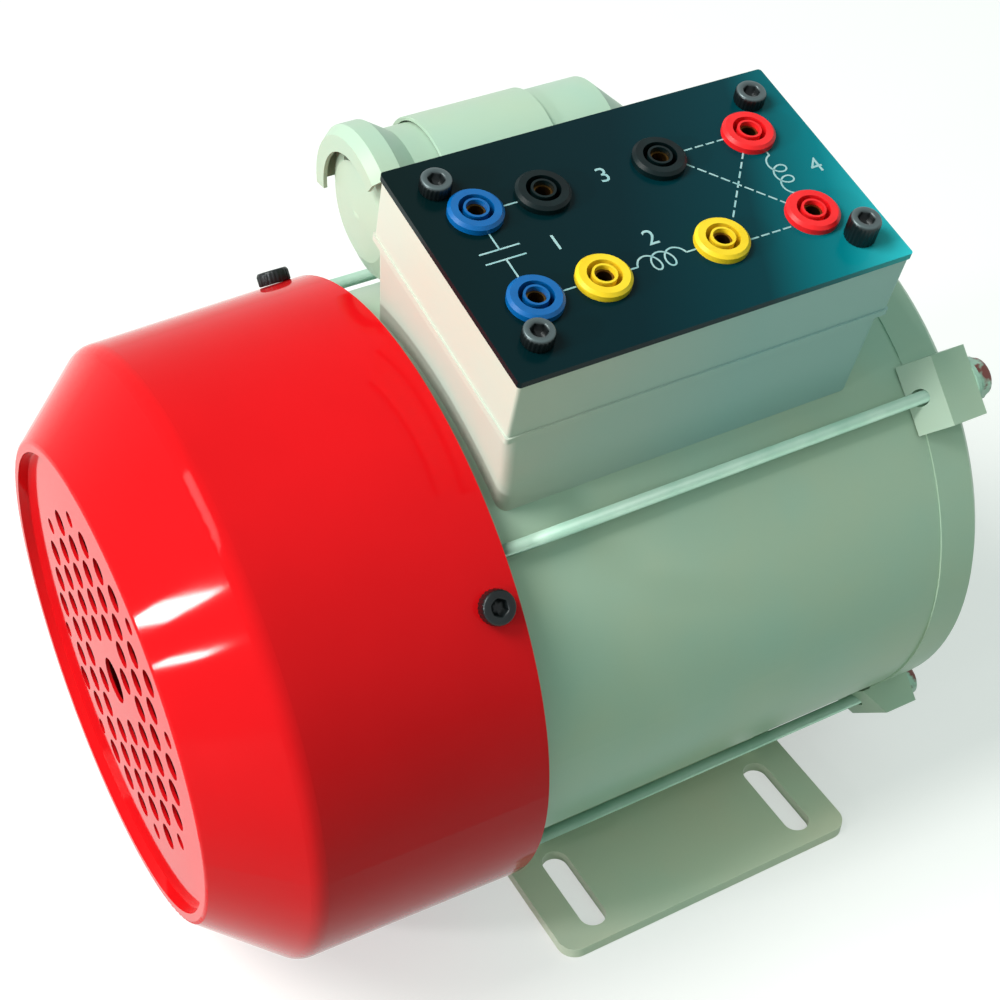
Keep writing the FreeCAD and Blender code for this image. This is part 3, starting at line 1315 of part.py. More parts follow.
def make_sockets():
    top = "panel_top + socket_flange_height"
    bottom = "panel_top - socket_barrel_length"
    floor = f"{bottom} + socket_floor"
    for name, across, along in socket_places():
        socket = box_body(name, across, along)
        turned(socket, [[
            ("contact_tail_radius + running_gap", bottom), ("socket_barrel_radius", bottom),
            ("socket_barrel_radius", "panel_top"), ("socket_flange_radius", "panel_top"),
            ("socket_flange_radius", f"{top} - socket_flange_height/3"),
            ("socket_flange_radius - socket_flange_height/3", top),
            ("socket_groove_radius", top), ("socket_groove_radius", floor),
            ("socket_tube_radius", floor), ("socket_tube_radius", top),
            ("contact_outer + running_gap", top), ("contact_outer + running_gap", floor),
            ("contact_tail_radius + running_gap", floor)]], "XZ")
        keep(socket)

    contact = "contact_outer - contact_bore"
    tag_seat = f"{bottom} - tag_thick"
    contacts = box_body("socket_contacts")
    nuts = box_body("socket_nuts")
    tags = box_body("solder_tags")
    places = [(across, along) for name, across, along in socket_places()]
    sleeve_low = floor
    sleeve_top = f"{top} - contact_recess"
    pad(contacts, "XY", sleeve_low, sleeve_top, [], [(x, y, "contact_outer") for x, y in places])
    pocket(contacts, "XY", f"{sleeve_low} + ({contact})", sleeve_top, [], [
        (x, y, "contact_bore") for x, y in places])
    pad(contacts, "XY", f"{bottom} - contact_tail", floor, [], [
        (x, y, "contact_tail_radius") for x, y in places])
    keep(contacts)
    pad(nuts, "XY", "panel_top - panel_thick - nut_thick", "panel_top - panel_thick",
        [hexagon(x, y, "nut_width") for x, y in places],
        [(x, y, "socket_barrel_radius + running_gap") for x, y in places])
    keep(nuts)
    pad(tags, "XY", tag_seat, bottom, [
        box_outline(f"{x} - tag_half_width", f"{x} + tag_half_width", f"{y} - tag_half_width",
                    f"{y} + tag_length - tag_half_width") for x, y in places],
        [(x, y, "contact_tail_radius + running_gap") for x, y in places])
    keep(tags)


# ---------------------------------------------------------------------------------------------
# Capacitor: a can in a sleeve with a hooded cap at the fan end and a domed one at the other.
# ---------------------------------------------------------------------------------------------
def capacitor_body(label, turn=None):
    """An empty body on the capacitor's own line, which runs beside the box along the shaft."""
    return new_body(label, "capacitor_height", turn, across="capacitor_across")


def make_capacitor():
    wall = "cover_wall"
    joint = "sleeve_start + cap_overlap"
    cup = capacitor_body("fan_cap_cup")
    turned(cup, [[
        ("0", "cap_face"), ("cap_bend_radius", "cap_bend"), ("cap_radius", "cap_shoulder"),
        ("cap_radius", joint), (f"cap_radius - {wall}", joint),
        (f"cap_radius - {wall}", f"cap_shoulder + {wall}/2"),
        (f"cap_bend_radius - {wall}/2", f"cap_bend + {wall}"),
        ("0", f"cap_face + {wall}")]])
    hood = capacitor_body("fan_cap_hood", "-hood_angle")
    inside = "(hood_radius - cover_wall)"
    turned(hood, [[
        (f"cap_radius - {wall}/2", "hood_root"), ("cap_radius", "hood_root"),
        ("hood_radius", "hood_top_end"), ("hood_radius", "hood_top_start"),
        (f"hood_radius - 2*{wall}", "hood_front"), ("hood_lip_radius", "hood_front"),
        ("hood_lip_radius", f"hood_front + {wall}"), (f"{inside} - {wall}", f"hood_front + {wall}"),
        (inside, "hood_top_start"), (inside, "hood_top_end"),
        (f"cap_radius - {wall}/2", f"hood_root - {wall}")]], sweep="hood_sweep")
    slit = capacitor_body("fan_cap_slit", "-slit_angle")
    ring = tube("slit_inner", "hood_lip_radius", "cap_face", f"cap_shoulder + 2*{wall}")
    turned(slit, [ring], sweep="slit_sweep")
    keep(cut("capacitor_end_cap_fan", joined("fan_cap_form", [cup, hood]), [slit]))

    sleeve = capacitor_body("capacitor_sleeve")
    turned(sleeve, [tube(f"sleeve_radius - {wall}", "sleeve_radius", "sleeve_start", "sleeve_end")])
    keep(sleeve)

    drive_cap = capacitor_body("capacitor_end_cap_drive")
    start = "sleeve_end - cap_overlap"
    turned(drive_cap, [[
        (f"dome_radius - {wall}", start), ("dome_radius", start), ("dome_radius", "dome_shoulder"),
        ("dome_tip_radius", "dome_tip"), ("0", "dome_tip"), ("0", f"dome_tip - {wall}"),
        (f"dome_tip_radius - {wall}/2", f"dome_tip - {wall}"), (f"dome_radius - {wall}", "dome_shoulder")]])
    keep(drive_cap)

    can = capacitor_body("capacitor")
    turned(can, [box_outline("0", f"cap_radius - {wall} - play", "can_start", "can_end")])
    keep(can)
    terminals = capacitor_body("capacitor_terminals")
    for side in (-1, 1):
        pad(terminals, "XZ", "can_end", "can_end + can_terminal_length", [
            box_outline(f"{side} * 2 * can_terminal_half - can_terminal_half",
                        f"{side} * 2 * can_terminal_half + can_terminal_half", "-can_terminal_thick/2",
                        "can_terminal_thick/2")])
    keep(terminals)
    make_capacitor_fixings()


def make_capacitor_fixings():
    """The saddle that carries the sleeve off the yoke, and the nipple that leads into the box."""
    foot = capacitor_body("bracket_block")
    low = "(shaft_height - capacitor_height) + saddle_rise"
    pad(foot, "XZ", "bracket_place - bracket_half_width", "bracket_place + bracket_half_width", [
        box_outline("-bracket_spread", "bracket_spread", low, "-sleeve_radius/2")])
    yoke_form = turned_piece(
        "yoke_envelope_bracket", tube("play", "yoke_radius", "yoke_fan_end", "yoke_drive_end"))
    sleeve_form = capacitor_body("sleeve_envelope")
    turned(sleeve_form, [tube("play", "sleeve_radius", "yoke_fan_end", "yoke_drive_end")])
    keep(cut("capacitor_bracket", foot, [yoke_form, sleeve_form]))

    nipple = box_body("nipple_tube")
    wall = "(panel_half_width - box_inset)"
    height = "(capacitor_across * sin(box_tilt) + (capacitor_height - shaft_height) * cos(box_tilt))"
    pad(nipple, "YZ", f"-({wall} + nipple_reach)", f"-({wall} - 2*box_wall)", [], [
        ("bracket_place", height, "nipple_radius"), ("bracket_place", height, "nipple_bore")])
    wide_sleeve = capacitor_body("nipple_sleeve_envelope")
    turned(wide_sleeve, [tube("play", "sleeve_radius", "yoke_fan_end", "yoke_drive_end")])
    keep(cut("capacitor_nipple", nipple, [wide_sleeve]))


make_foot()
make_yoke()
make_drive_shield()
make_fan_shield()
make_tie_bolts()
make_cowl()
make_stator()
make_rotor()
make_shaft()
for bearing_end in ("drive", "fan"):
    make_bearing(bearing_end)
    make_bearing_cage(bearing_end)
make_preload_washer()
make_cooling_fan()
make_governor()
make_switch()
make_box_base()
make_box_top()
make_sockets()
make_capacitor()


def write_pieces():
    """Check every object, then write each sub-part to its own file."""
    document.recompute()
    for item in document.Objects:
        if "Invalid" in item.State or "Error" in item.State:
            raise RuntimeError(f"{item.Label} did not rebuild")
    for piece in pieces:
        if piece.Shape.isNull() or not piece.Shape.isValid():
            raise RuntimeError(f"{piece.Label} has no valid shape")
    os.makedirs("parts", exist_ok=True)
    for piece in pieces:
        piece.Shape.exportStep(f"parts/{piece.Label}.step")
        print(piece.Label, len(piece.Shape.Solids), round(piece.Shape.Volume))


write_pieces()
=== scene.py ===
# %% [markdown]
# A demonstration electric motor: red perforated cowl, sage green machine, tilted black panel.
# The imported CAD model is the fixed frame. This file gives each piece its finish and fine detail,
# and leaves every CAD solid where it stands.

# %% Load the frame
import bmesh
import bpy
import math
import numpy as np
from mathutils import Matrix, Vector


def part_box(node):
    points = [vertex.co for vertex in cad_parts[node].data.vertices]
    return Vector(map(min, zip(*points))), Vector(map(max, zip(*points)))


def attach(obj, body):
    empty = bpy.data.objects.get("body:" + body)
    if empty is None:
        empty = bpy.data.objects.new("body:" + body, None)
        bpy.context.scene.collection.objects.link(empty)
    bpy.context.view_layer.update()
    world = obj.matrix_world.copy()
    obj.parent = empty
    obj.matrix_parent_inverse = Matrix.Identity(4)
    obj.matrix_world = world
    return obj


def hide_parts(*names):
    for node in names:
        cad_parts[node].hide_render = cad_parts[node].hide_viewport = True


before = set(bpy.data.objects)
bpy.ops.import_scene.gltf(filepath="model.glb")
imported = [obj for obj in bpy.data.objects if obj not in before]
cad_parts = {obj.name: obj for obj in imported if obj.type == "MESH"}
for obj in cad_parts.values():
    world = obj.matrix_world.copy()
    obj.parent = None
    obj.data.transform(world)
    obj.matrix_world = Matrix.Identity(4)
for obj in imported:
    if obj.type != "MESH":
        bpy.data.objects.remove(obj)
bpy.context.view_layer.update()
MM = 0.001

# %% [markdown]
# Two directions are used everywhere. The shaft lies along Y at one height, and the terminal box
# leans about the shaft, so its own directions are "across" and "out", turned by the tilt.

# %% The shaft line and the tilted directions
SHAFT_HEIGHT = 100 * MM
BOX_TILT = math.radians(13.6)
ACROSS = np.array([math.cos(BOX_TILT), 0.0, -math.sin(BOX_TILT)])
ALONG = np.array([0.0, 1.0, 0.0])
OUT = np.array([math.sin(BOX_TILT), 0.0, math.cos(BOX_TILT)])
SHAFT = np.array([0.0, 0.0, SHAFT_HEIGHT])


def in_box(across, along, out):
    """Point = shaft point + across * ACROSS + along * ALONG + out * OUT, for whole arrays in mm."""
    across, along, out = (np.asarray(v, float)[..., None] * MM for v in (across, along, out))
    return SHAFT + across * ACROSS + along * ALONG + out * OUT


# %% [markdown]
# The camera stands at the near fan-side corner and looks down on the panel. Its place and its
# three directions were solved once, so they are written as plain numbers in the frame's metres.

# %% Camera
CAMERA_PLACE = Vector((374.4, -253.0, 503.6)) * MM
CAMERA_RIGHT = Vector((0.4896, 0.8717, 0.0222))
CAMERA_DOWN = Vector((0.5882, -0.3114, -0.7464))
CAMERA_FORWARD = Vector((-0.6437, 0.3784, -0.6652))
LENS = 68.0
SENSOR = 36.0
camera_data = bpy.data.cameras.new("camera")
camera_data.lens = LENS
camera_data.sensor_width = SENSOR
camera_data.clip_start = 0.01
camera = bpy.data.objects.new("camera", camera_data)
bpy.context.collection.objects.link(camera)
turn = Matrix((CAMERA_RIGHT, -CAMERA_DOWN, -CAMERA_FORWARD)).transposed()
camera.matrix_world = Matrix.Translation(CAMERA_PLACE) @ turn.to_4x4()
bpy.context.scene.camera = camera

# %% [markdown]
# A finish is a graph of nodes. One helper adds a node with its settings and links; the colour
# helper turns an sRGB hex value into the linear numbers that the shader works with.


# %% Helpers for finishes
def linear(hex_value):
    """Each channel c becomes ((c + 0.055) / 1.055) ** 2.4, or c / 12.92 when dark."""
    channels = np.array([int(hex_value[i:i + 2], 16) for i in (1, 3, 5)]) / 255
    low = channels / 12.92
    high = ((channels + 0.055) / 1.055) ** 2.4
    return (*np.where(channels <= 0.04045, low, high), 1.0)


def add_node(tree, kind, links=None, **settings):
    """Add one node: a setting is an option of the node or, with spaces as _, an input's value."""
    node = tree.nodes.new(kind)
    for name, setting in settings.items():
        if hasattr(node, name):
            setattr(node, name, setting)
        else:
            node.inputs[name.replace("_", " ")].default_value = setting
    for name, source in (links or {}).items():
        socket = node.inputs[int(name)] if name.isdigit() else node.inputs[name]
        tree.links.new(source, socket)
    return node


def new_finish(name):
    """A new material with its surface shader and object coordinates ready to use."""
    material = bpy.data.materials.new(name)
    material.use_nodes = True
    tree = material.node_tree
    shader = tree.nodes["Principled BSDF"]
    place = tree.nodes.new("ShaderNodeTexCoord").outputs["Object"]
    return material, tree, shader, place


def blended(tree, share, colour, hex_value):
    """Colour + (hex value - colour) * share."""
    mix = add_node(tree, "ShaderNodeMix", {"0": share, "6": colour}, data_type="RGBA")
    mix.inputs[7].default_value = linear(hex_value)
    return mix.outputs[2]


def waves_per_metre(size_mm):
    """A noise of scale s has features about 1 / s of a metre wide, so s = 1000 / size."""
    return 1000.0 / size_mm


def noise_of(tree, place, size_mm, detail):
    """One noise of the given feature width, between 0 and 1."""
    noise = add_node(tree, "ShaderNodeTexNoise", {"Vector": place}, Scale=waves_per_metre(size_mm),
                     Detail=detail)
    return noise.outputs["Fac"]


def mottled(tree, place, colours, size_mm, low=0.35, high=0.65, detail=3.0):
    """Blend two colours by a noise: colour = first + (second - first) * ramp(noise)."""
    noise = noise_of(tree, place, size_mm, detail)
    ramp = add_node(tree, "ShaderNodeValToRGB", {"Fac": noise})
    for element, spot, colour in zip(ramp.color_ramp.elements, (low, high), colours):
        element.position = spot
        element.color = linear(colour)
    return ramp.outputs["Color"]


def roughened(tree, place, shader, size_mm, low, high):
    """Roughness = low + (high - low) * noise."""
    noise = noise_of(tree, place, size_mm, 4.0)
    span = add_node(tree, "ShaderNodeMapRange", {"Value": noise}, To_Min=low, To_Max=high)
    tree.links.new(span.outputs["Result"], shader.inputs["Roughness"])


def bumped(tree, place, shader, size_mm, height_mm, strength):
    """Tilt the normal by the slope of a noise of the given width and height."""
    noise = noise_of(tree, place, size_mm, 2.0)
    bump = add_node(tree, "ShaderNodeBump", {"Height": noise}, Strength=strength,
                    Distance=height_mm * MM)
    tree.links.new(bump.outputs["Normal"], shader.inputs["Normal"])


# %% [markdown]
# Paint goes thin on sharp edges and gets knocked there first. A bevelled normal differs from the
# true one only close to an edge, so their dot product falls below one there and nowhere else.


# %% Wear along edges
def wear_along_edges(tree, place, paint, bare, reach_mm, amount):
    """Show the bare colour where 1 - dot(bevelled normal, true normal) times a noise is large."""
    bevel = add_node(tree, "ShaderNodeBevel", Radius=reach_mm * MM)
    geometry = tree.nodes.new("ShaderNodeNewGeometry")
    normals = {"0": bevel.outputs["Normal"], "1": geometry.outputs["Normal"]}
    match = add_node(tree, "ShaderNodeVectorMath", normals, operation="DOT_PRODUCT")
    edge = add_node(tree, "ShaderNodeMapRange", {"Value": match.outputs["Value"]},
                    From_Min=1.0, From_Max=0.7)
    chips = noise_of(tree, place, 2.5, 6.0)
    worn = add_node(tree, "ShaderNodeMath", {"0": edge.outputs["Result"], "1": chips},
                    operation="MULTIPLY")
    span = add_node(tree, "ShaderNodeMapRange", {"Value": worn.outputs["Value"]},
                    From_Min=0.2, From_Max=0.5, To_Max=amount)
    return blended(tree, span.outputs["Result"], paint, bare)


# %% [markdown]
# A machine like this is sprayed with stoving enamel: smooth and glossy, with an orange-peel swell
# a few millimetres wide, and tones that drift a little where the coat is thick or thin. The
# gloss is kept low in the specular level, because a white room would otherwise grey the red. The
# box carries painted light and shade: its colour turns from a warm-lit cream at the fan end to
# the bluer sage of cool shade at the middle, standing for how the light falls on it. The red
# coat is the glossiest, and its swell is the widest.


# %% Sage green and red enamel
EDGE_REACH, EDGE_AMOUNT = 0.4, 0.25
PAINTED_LIGHT_START, PAINTED_LIGHT_END = -64, 5


def painted_light_drift(tree, place, paint, towards, start_mm, end_mm):
    """Blend by share = (y - start) / (end - start), held between 0 and 1."""
    axes = add_node(tree, "ShaderNodeSeparateXYZ", {"Vector": place})
    share = add_node(tree, "ShaderNodeMapRange", {"Value": axes.outputs["Y"]},
                     From_Min=start_mm * MM, From_Max=end_mm * MM)
    return blended(tree, share.outputs["Result"], paint, towards)


def sprayed_enamel(name, colours, edge, gloss, cloud_mm=45, peel_mm=3.0, shine=0.3, towards=None):
    """Two close tones in wide clouds, edges worn to another colour, orange peel in the normal."""
    material, tree, shader, place = new_finish(name)
    paint = mottled(tree, place, colours, cloud_mm, 0.3, 0.7)
    # Painted light and shade: the colour is blended along Y from the lit tone to the shaded one.
    if towards:
        paint = painted_light_drift(tree, place, paint, towards, PAINTED_LIGHT_START, PAINTED_LIGHT_END)
    worn = wear_along_edges(tree, place, paint, edge, EDGE_REACH, EDGE_AMOUNT)
    tree.links.new(worn, shader.inputs["Base Color"])
    roughened(tree, place, shader, 30, gloss, 1.6 * gloss)
    shader.inputs["IOR"].default_value = 1.5
    shader.inputs["Specular IOR Level"].default_value = shine
    bumped(tree, place, shader, peel_mm, 0.02, 0.4)
    return material


sage_enamel = sprayed_enamel("sage_stoving_enamel", ("#b4c6b0", "#a8c6b6"), "#c0cfbe", 0.28)
# Painted light and shade: warm-lit cream at the fan end, blended to a cool shaded sage at the
# middle.
box_enamel = sprayed_enamel("cream_sage_enamel_with_painted_light", ("#d2cabc", "#c2cdc2"), "#dcdccf", 0.32, 60,
                            towards="#aac9ca")
# The foot's cream tone is its own, but it is made paler than real enamel: painted light for a
# shaded foot.
foot_enamel = sprayed_enamel("foot_enamel_with_painted_light", ("#ebe6cf", "#dce7d2"), "#ece9da", 0.32, 60)
red_enamel = sprayed_enamel("signal_red_enamel", ("#da1219", "#d01016"), "#e4302c", 0.045, 60,
                            peel_mm=8.0, shine=0.06)
print("enamels:", sage_enamel.name, box_enamel.name, red_enamel.name)

# %% [markdown]
# The panel is a sheet of black plastic with a polished face. Its colour carries a painted
# reflection: deep at the fan end, it opens up to petrol blue towards the near drive-end corner,
# standing for a bluish room mirrored in the glossy face. The ramp follows the panel's own two
# directions.


# %% Black panel sheet with a painted reflection
ALONG_WEIGHT, ACROSS_WEIGHT = 0.8, 0.35
PANEL_HALF_WIDTH = 38 * MM
panel_low, panel_high = (np.array(corner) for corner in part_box("terminal_panel"))
panel_black, tree, shader, place = new_finish("polished_black_sheet_with_painted_reflection")
length_part = add_node(tree, "ShaderNodeVectorMath", {"0": place}, operation="DOT_PRODUCT")
length_part.inputs[1].default_value = Vector(ALONG_WEIGHT * ALONG + ACROSS_WEIGHT * ACROSS)
ends = (ALONG_WEIGHT * panel_low[1] - ACROSS_WEIGHT * PANEL_HALF_WIDTH,
        ALONG_WEIGHT * panel_high[1] + ACROSS_WEIGHT * PANEL_HALF_WIDTH)
ends = tuple(end - ACROSS_WEIGHT * SHAFT_HEIGHT * math.sin(BOX_TILT) for end in ends)
share = add_node(tree, "ShaderNodeMapRange", {"Value": length_part.outputs["Value"]},
                 From_Min=ends[0], From_Max=ends[1])
# Painted reflection: near black at the fan end, petrol blue at the near drive-end corner.
painted_reflection = add_node(tree, "ShaderNodeValToRGB", {"Fac": share.outputs["Result"]})
painted_reflection.color_ramp.elements[0].color = linear("#04191a")
painted_reflection.color_ramp.elements[1].color = linear("#2cb8c4")
for spot, colour in ((0.45, "#01232a"), (0.7, "#00363f"), (0.86, "#007480")):
    painted_reflection.color_ramp.elements.new(spot).color = linear(colour)
tree.links.new(painted_reflection.outputs["Color"], shader.inputs["Base Color"])
roughened(tree, place, shader, 12, 0.16, 0.26)
shader.inputs["IOR"].default_value = 1.49
shader.inputs["Specular IOR Level"].default_value = 0.06
bumped(tree, place, shader, 25, 0.01, 0.3)
print("panel tint from", ends[0], "to", ends[1])

# %% [markdown]
# The sockets are moulded polyamide: full colour, half gloss, with the faint swirl of moulding.


# %% Moulded plastics and rubber
def moulded_plastic(name, colours, gloss, size_mm=6.0, shine=0.3):
    """Close tones, a fine moulding texture and a soft highlight."""
    material, tree, shader, place = new_finish(name)
    tree.links.new(mottled(tree, place, colours, size_mm), shader.inputs["Base Color"])
    roughened(tree, place, shader, 4.0, gloss, gloss + 0.1)
    shader.inputs["IOR"].default_value = 1.5
    shader.inputs["Specular IOR Level"].default_value = shine
    bumped(tree, place, shader, 0.8, 0.004, 0.4)
    return material


plastics = {
    "blue": moulded_plastic("blue_polyamide", ("#0060a6", "#00589c"), 0.3),
    "black": moulded_plastic("black_polyamide", ("#051315", "#081c1e"), 0.3, shine=0.15),
    "yellow": moulded_plastic("yellow_polyamide", ("#f4d02a", "#ecc61e"), 0.32),
    "red": moulded_plastic("red_polyamide", ("#f52328", "#ea1c22"), 0.32),
}
white_ink = moulded_plastic("pale_screen_ink", ("#a6c6ca", "#8cb8be"), 0.5, 3.0)
brown_can = moulded_plastic("brown_phenolic_can", ("#6e4a3c", "#5c3a2e"), 0.35, 5.0)
resin_board = moulded_plastic("brown_resin_board", ("#7a4a24", "#6c3f1c"), 0.45, 2.0)
sheet_rubber = moulded_plastic("black_sheet_rubber", ("#141414", "#1b1b1b"), 0.7, 2.0)

# %% [markdown]
# The metals: turned steel for the shaft and bearings, blackened steel for the screws, cast
# aluminium for the cage and fan, brass for the contacts and enamelled copper for the windings.
# Turning leaves fine rings round the shaft, drawn as waves along it.


# %% Metals
def turned_metal(name, colours, rough, groove_mm=0.25, metallic=1.0, painted_highlight=None):
    """Two close tones in stains, a painted highlight where the mesh asks for it, and rings as a
    wave on Y.
    """
    material, tree, shader, place = new_finish(name)
    colour = mottled(tree, place, colours, 8.0)
    # Painted highlight: the colour is blended to a pale tone by the mesh's point attribute.
    if painted_highlight:
        bright = tree.nodes.new("ShaderNodeAttribute")
        bright.attribute_name = "painted_highlight"
        colour = blended(tree, bright.outputs["Fac"], colour, painted_highlight)
    tree.links.new(colour, shader.inputs["Base Color"])
    shader.inputs["Metallic"].default_value = metallic
    roughened(tree, place, shader, 3.0, rough, rough + 0.14)
    wave = add_node(tree, "ShaderNodeTexWave", {"Vector": place}, bands_direction="Y",
                    Scale=waves_per_metre(groove_mm) / (2 * math.pi), Distortion=0.6)
    bump = add_node(tree, "ShaderNodeBump", {"Height": wave.outputs["Fac"]}, Strength=0.12,
                    Distance=0.02 * MM)
    tree.links.new(bump.outputs["Normal"], shader.inputs["Normal"])
    return material


turned_steel = turned_metal("turned_bright_steel", ("#c4c6c8", "#aeb1b4"), 0.22)
# The pale tone of the screws is a painted highlight for the glint on their rims.
black_oxide = turned_metal("blackened_screw_steel", ("#1c2426", "#12191b"), 0.28, 0.6,
                           metallic=0.5, painted_highlight="#8fa5a9")
cast_aluminium = turned_metal("cast_aluminium", ("#8f9294", "#7d8082"), 0.45, 1.2)
# The brass is partly its own dull tone and partly painted shade for the dark insides of the
# sockets.
brass = turned_metal("turned_brass_with_painted_shade", ("#7c5e30", "#664c26"), 0.36)
lamination_steel = turned_metal("stacked_lamination_steel", ("#6f7275", "#5c5f62"), 0.4, 0.5)
copper_wire = turned_metal("enamelled_copper_wire", ("#a8552b", "#8c3f1c"), 0.25, 0.7)

# %% [markdown]
# The tie bolts were primed red-brown and then sprayed with the machine. The rods took the green
# paint, and the heads, which face away from the gun, are covered only in patches.

# %% Enamel over primer, patchy on the heads
HEAD_START = 86.2
painted_bolt, tree, shader, place = new_finish("enamel_over_primed_bolt")
axes = add_node(tree, "ShaderNodeSeparateXYZ", {"Vector": place})
on_head = add_node(tree, "ShaderNodeMath", {"0": axes.outputs["Y"]}, operation="GREATER_THAN")
on_head.inputs[1].default_value = HEAD_START * MM
bare = add_node(tree, "ShaderNodeMapRange", {"Value": noise_of(tree, place, 9, 4.0)},
                From_Min=0.48, From_Max=0.54)
share = add_node(tree, "ShaderNodeMath",
                 {"0": on_head.outputs["Value"], "1": bare.outputs["Result"]}, operation="MULTIPLY")
paint = mottled(tree, place, ("#b4d4c4", "#a0c8b6"), 12.0)
coat = blended(tree, share.outputs["Value"], paint, "#7c3a33")
tree.links.new(coat, shader.inputs["Base Color"])
roughened(tree, place, shader, 5.0, 0.24, 0.38)
bumped(tree, place, shader, 2.0, 0.03, 0.5)
print("bolt finish:", painted_bolt.name)

# %% [markdown]
# Each CAD node gets its finish by its name, or by the start of its name.

# %% Dress the CAD nodes
FINISHES = {
    "foot": foot_enamel, "yoke_shell": sage_enamel, "drive_end_shield": sage_enamel,
    "fan_end_shield": sage_enamel, "capacitor_sleeve": sage_enamel,
    "capacitor_end_cap": sage_enamel, "capacitor_bracket": sage_enamel,
    "capacitor_nipple": sheet_rubber, "capacitor": brown_can, "terminal_box": box_enamel,
    "fan_cowl": red_enamel, "tie_bolts": painted_bolt, "tie_bolt_washers": painted_bolt,
    "cowl_screws": black_oxide, "panel_screws": black_oxide, "stator_core": lamination_steel,
    "rotor_core": lamination_steel, "run_winding": copper_wire, "start_winding": copper_wire,
    "rotor_cage": cast_aluminium, "cooling_fan": cast_aluminium, "terminal_panel": panel_black,
    "panel_gasket": sheet_rubber, "socket_contacts": brass, "socket_nuts": brass,
    "solder_tags": brass, "contact_arm": brass, "switch_terminals": brass,
    "capacitor_terminals": brass, "governor_collar": resin_board, "switch_board": resin_board,
    "socket_blue": plastics["blue"], "socket_black": plastics["black"],
    "socket_yellow": plastics["yellow"], "socket_red": plastics["red"],
}


def finish_of(node):
    """The longest name in the table that the node's name starts with decides its finish."""
    fitting = [name for name in FINISHES if node.startswith(name)]
    return FINISHES[max(fitting, key=len)] if fitting else turned_steel


for node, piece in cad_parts.items():
    piece.data.materials.clear()
    piece.data.materials.append(finish_of(node))
print("dressed", len(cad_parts), "nodes")

# %% [markdown]
# New pieces are surfaces on a grid of points: rows run along the piece and columns go round it.
# One helper joins neighbouring points into faces and closes the first and last rows.


# %% A mesh from a grid of points
def grid_faces(rows, columns, first):
    """Faces of a tube of rows x columns points: four neighbours make a quad, and caps close it."""
    index = first + np.arange(rows * columns).reshape(rows, columns)
    following = np.roll(index, -1, axis=1)
    quads = np.stack([index[:-1], following[:-1], following[1:], index[1:]], axis=-1).reshape(-1, 4)
    return quads.tolist() + [index[0, ::-1].tolist(), index[-1].tolist()]


def tubes_piece(name, grids, finish, body, smooth=False, painted_highlight=None):
    """One object from closed tubes of rows x columns points; the painted highlight has one number a
    point.
    """
    faces = []
    start = 0
    for points in grids:
        faces += grid_faces(*points.shape[:2], start)
        start += points.shape[0] * points.shape[1]
    mesh = bpy.data.meshes.new(name)
    mesh.from_pydata(np.concatenate([points.reshape(-1, 3) for points in grids]), [], faces)
    shape = bmesh.new()
    shape.from_mesh(mesh)
    bmesh.ops.recalc_face_normals(shape, faces=shape.faces)
    shape.to_mesh(mesh)
    shape.free()
    mesh.polygons.foreach_set("use_smooth", np.full(len(mesh.polygons), smooth))
    mesh.materials.append(finish)
    if painted_highlight is not None:
        mesh.attributes.new("painted_highlight", "FLOAT", "POINT").data.foreach_set("value", painted_highlight)
    piece = bpy.data.objects.new(name, mesh)
    bpy.context.collection.objects.link(piece)
    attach(piece, body)
    print(name, "faces:", len(mesh.polygons))
    return piece


# %% [markdown]
# The circuit on the panel is screen-printed: pale lines a bit over half a millimetre wide with
# almost no height. Each line is a ribbon carried along a path drawn on the panel's face, and the
# words of the real panel are plain numbers here.

# %% Printed circuit lines
PANEL_FACE = 136.0
INK_WIDTH = 0.5
INK_BASE, INK_TOP = 0.01, 0.05
DASH, GAP = 2.6, 0.7


def ink_ribbon(path):
    """Ribbon: centre line path(across, along), moved by half the width along its own normal."""
    path = np.asarray(path, float)
    heading = np.gradient(path, axis=0)
    heading /= np.linalg.norm(heading, axis=1)[:, None]
    side = np.stack([-heading[:, 1], heading[:, 0]], axis=1) * INK_WIDTH / 2
    left, right = path + side, path - side
    rails = [(left, INK_BASE), (left, INK_TOP), (right, INK_TOP), (right, INK_BASE)]
    return np.stack([in_box(rail[:, 0], rail[:, 1], np.full(len(rail), PANEL_FACE + height))
                     for rail, height in rails], axis=1)


def straight(start, end):
    """Two points of one printed line."""
    return [ink_ribbon([start, end])]


def dashed(start, end):
    """Dashes along a line: start + heading * k * (DASH + GAP)."""
    start, end = np.array(start), np.array(end)
    length = np.linalg.norm(end - start)
    heading = (end - start) / length
    count = int((length + GAP) // (DASH + GAP))
    places = np.linspace(0, length - DASH, count)
    return [ink_ribbon([start + heading * place, start + heading * (place + DASH)])
            for place in places]


def coil(start, end, turns, reach, height):
    """Looped coil, t from -90 degrees: along = a * t + reach * sin t, beside = height * cos t."""
    start, end = np.array(start), np.array(end)
    length = np.linalg.norm(end - start)
    heading = (end - start) / length
    side = np.array([-heading[1], heading[0]])
    angle = np.linspace(-0.5 * math.pi, (2 * turns + 0.5) * math.pi, 28 * turns)[:, None]
    pace = (length - 2 * reach) / ((2 * turns + 1) * math.pi)
    along = pace * (angle + 0.5 * math.pi) + reach * (np.sin(angle) + 1)
    return [ink_ribbon(start + heading * along + side * height * np.cos(angle))]


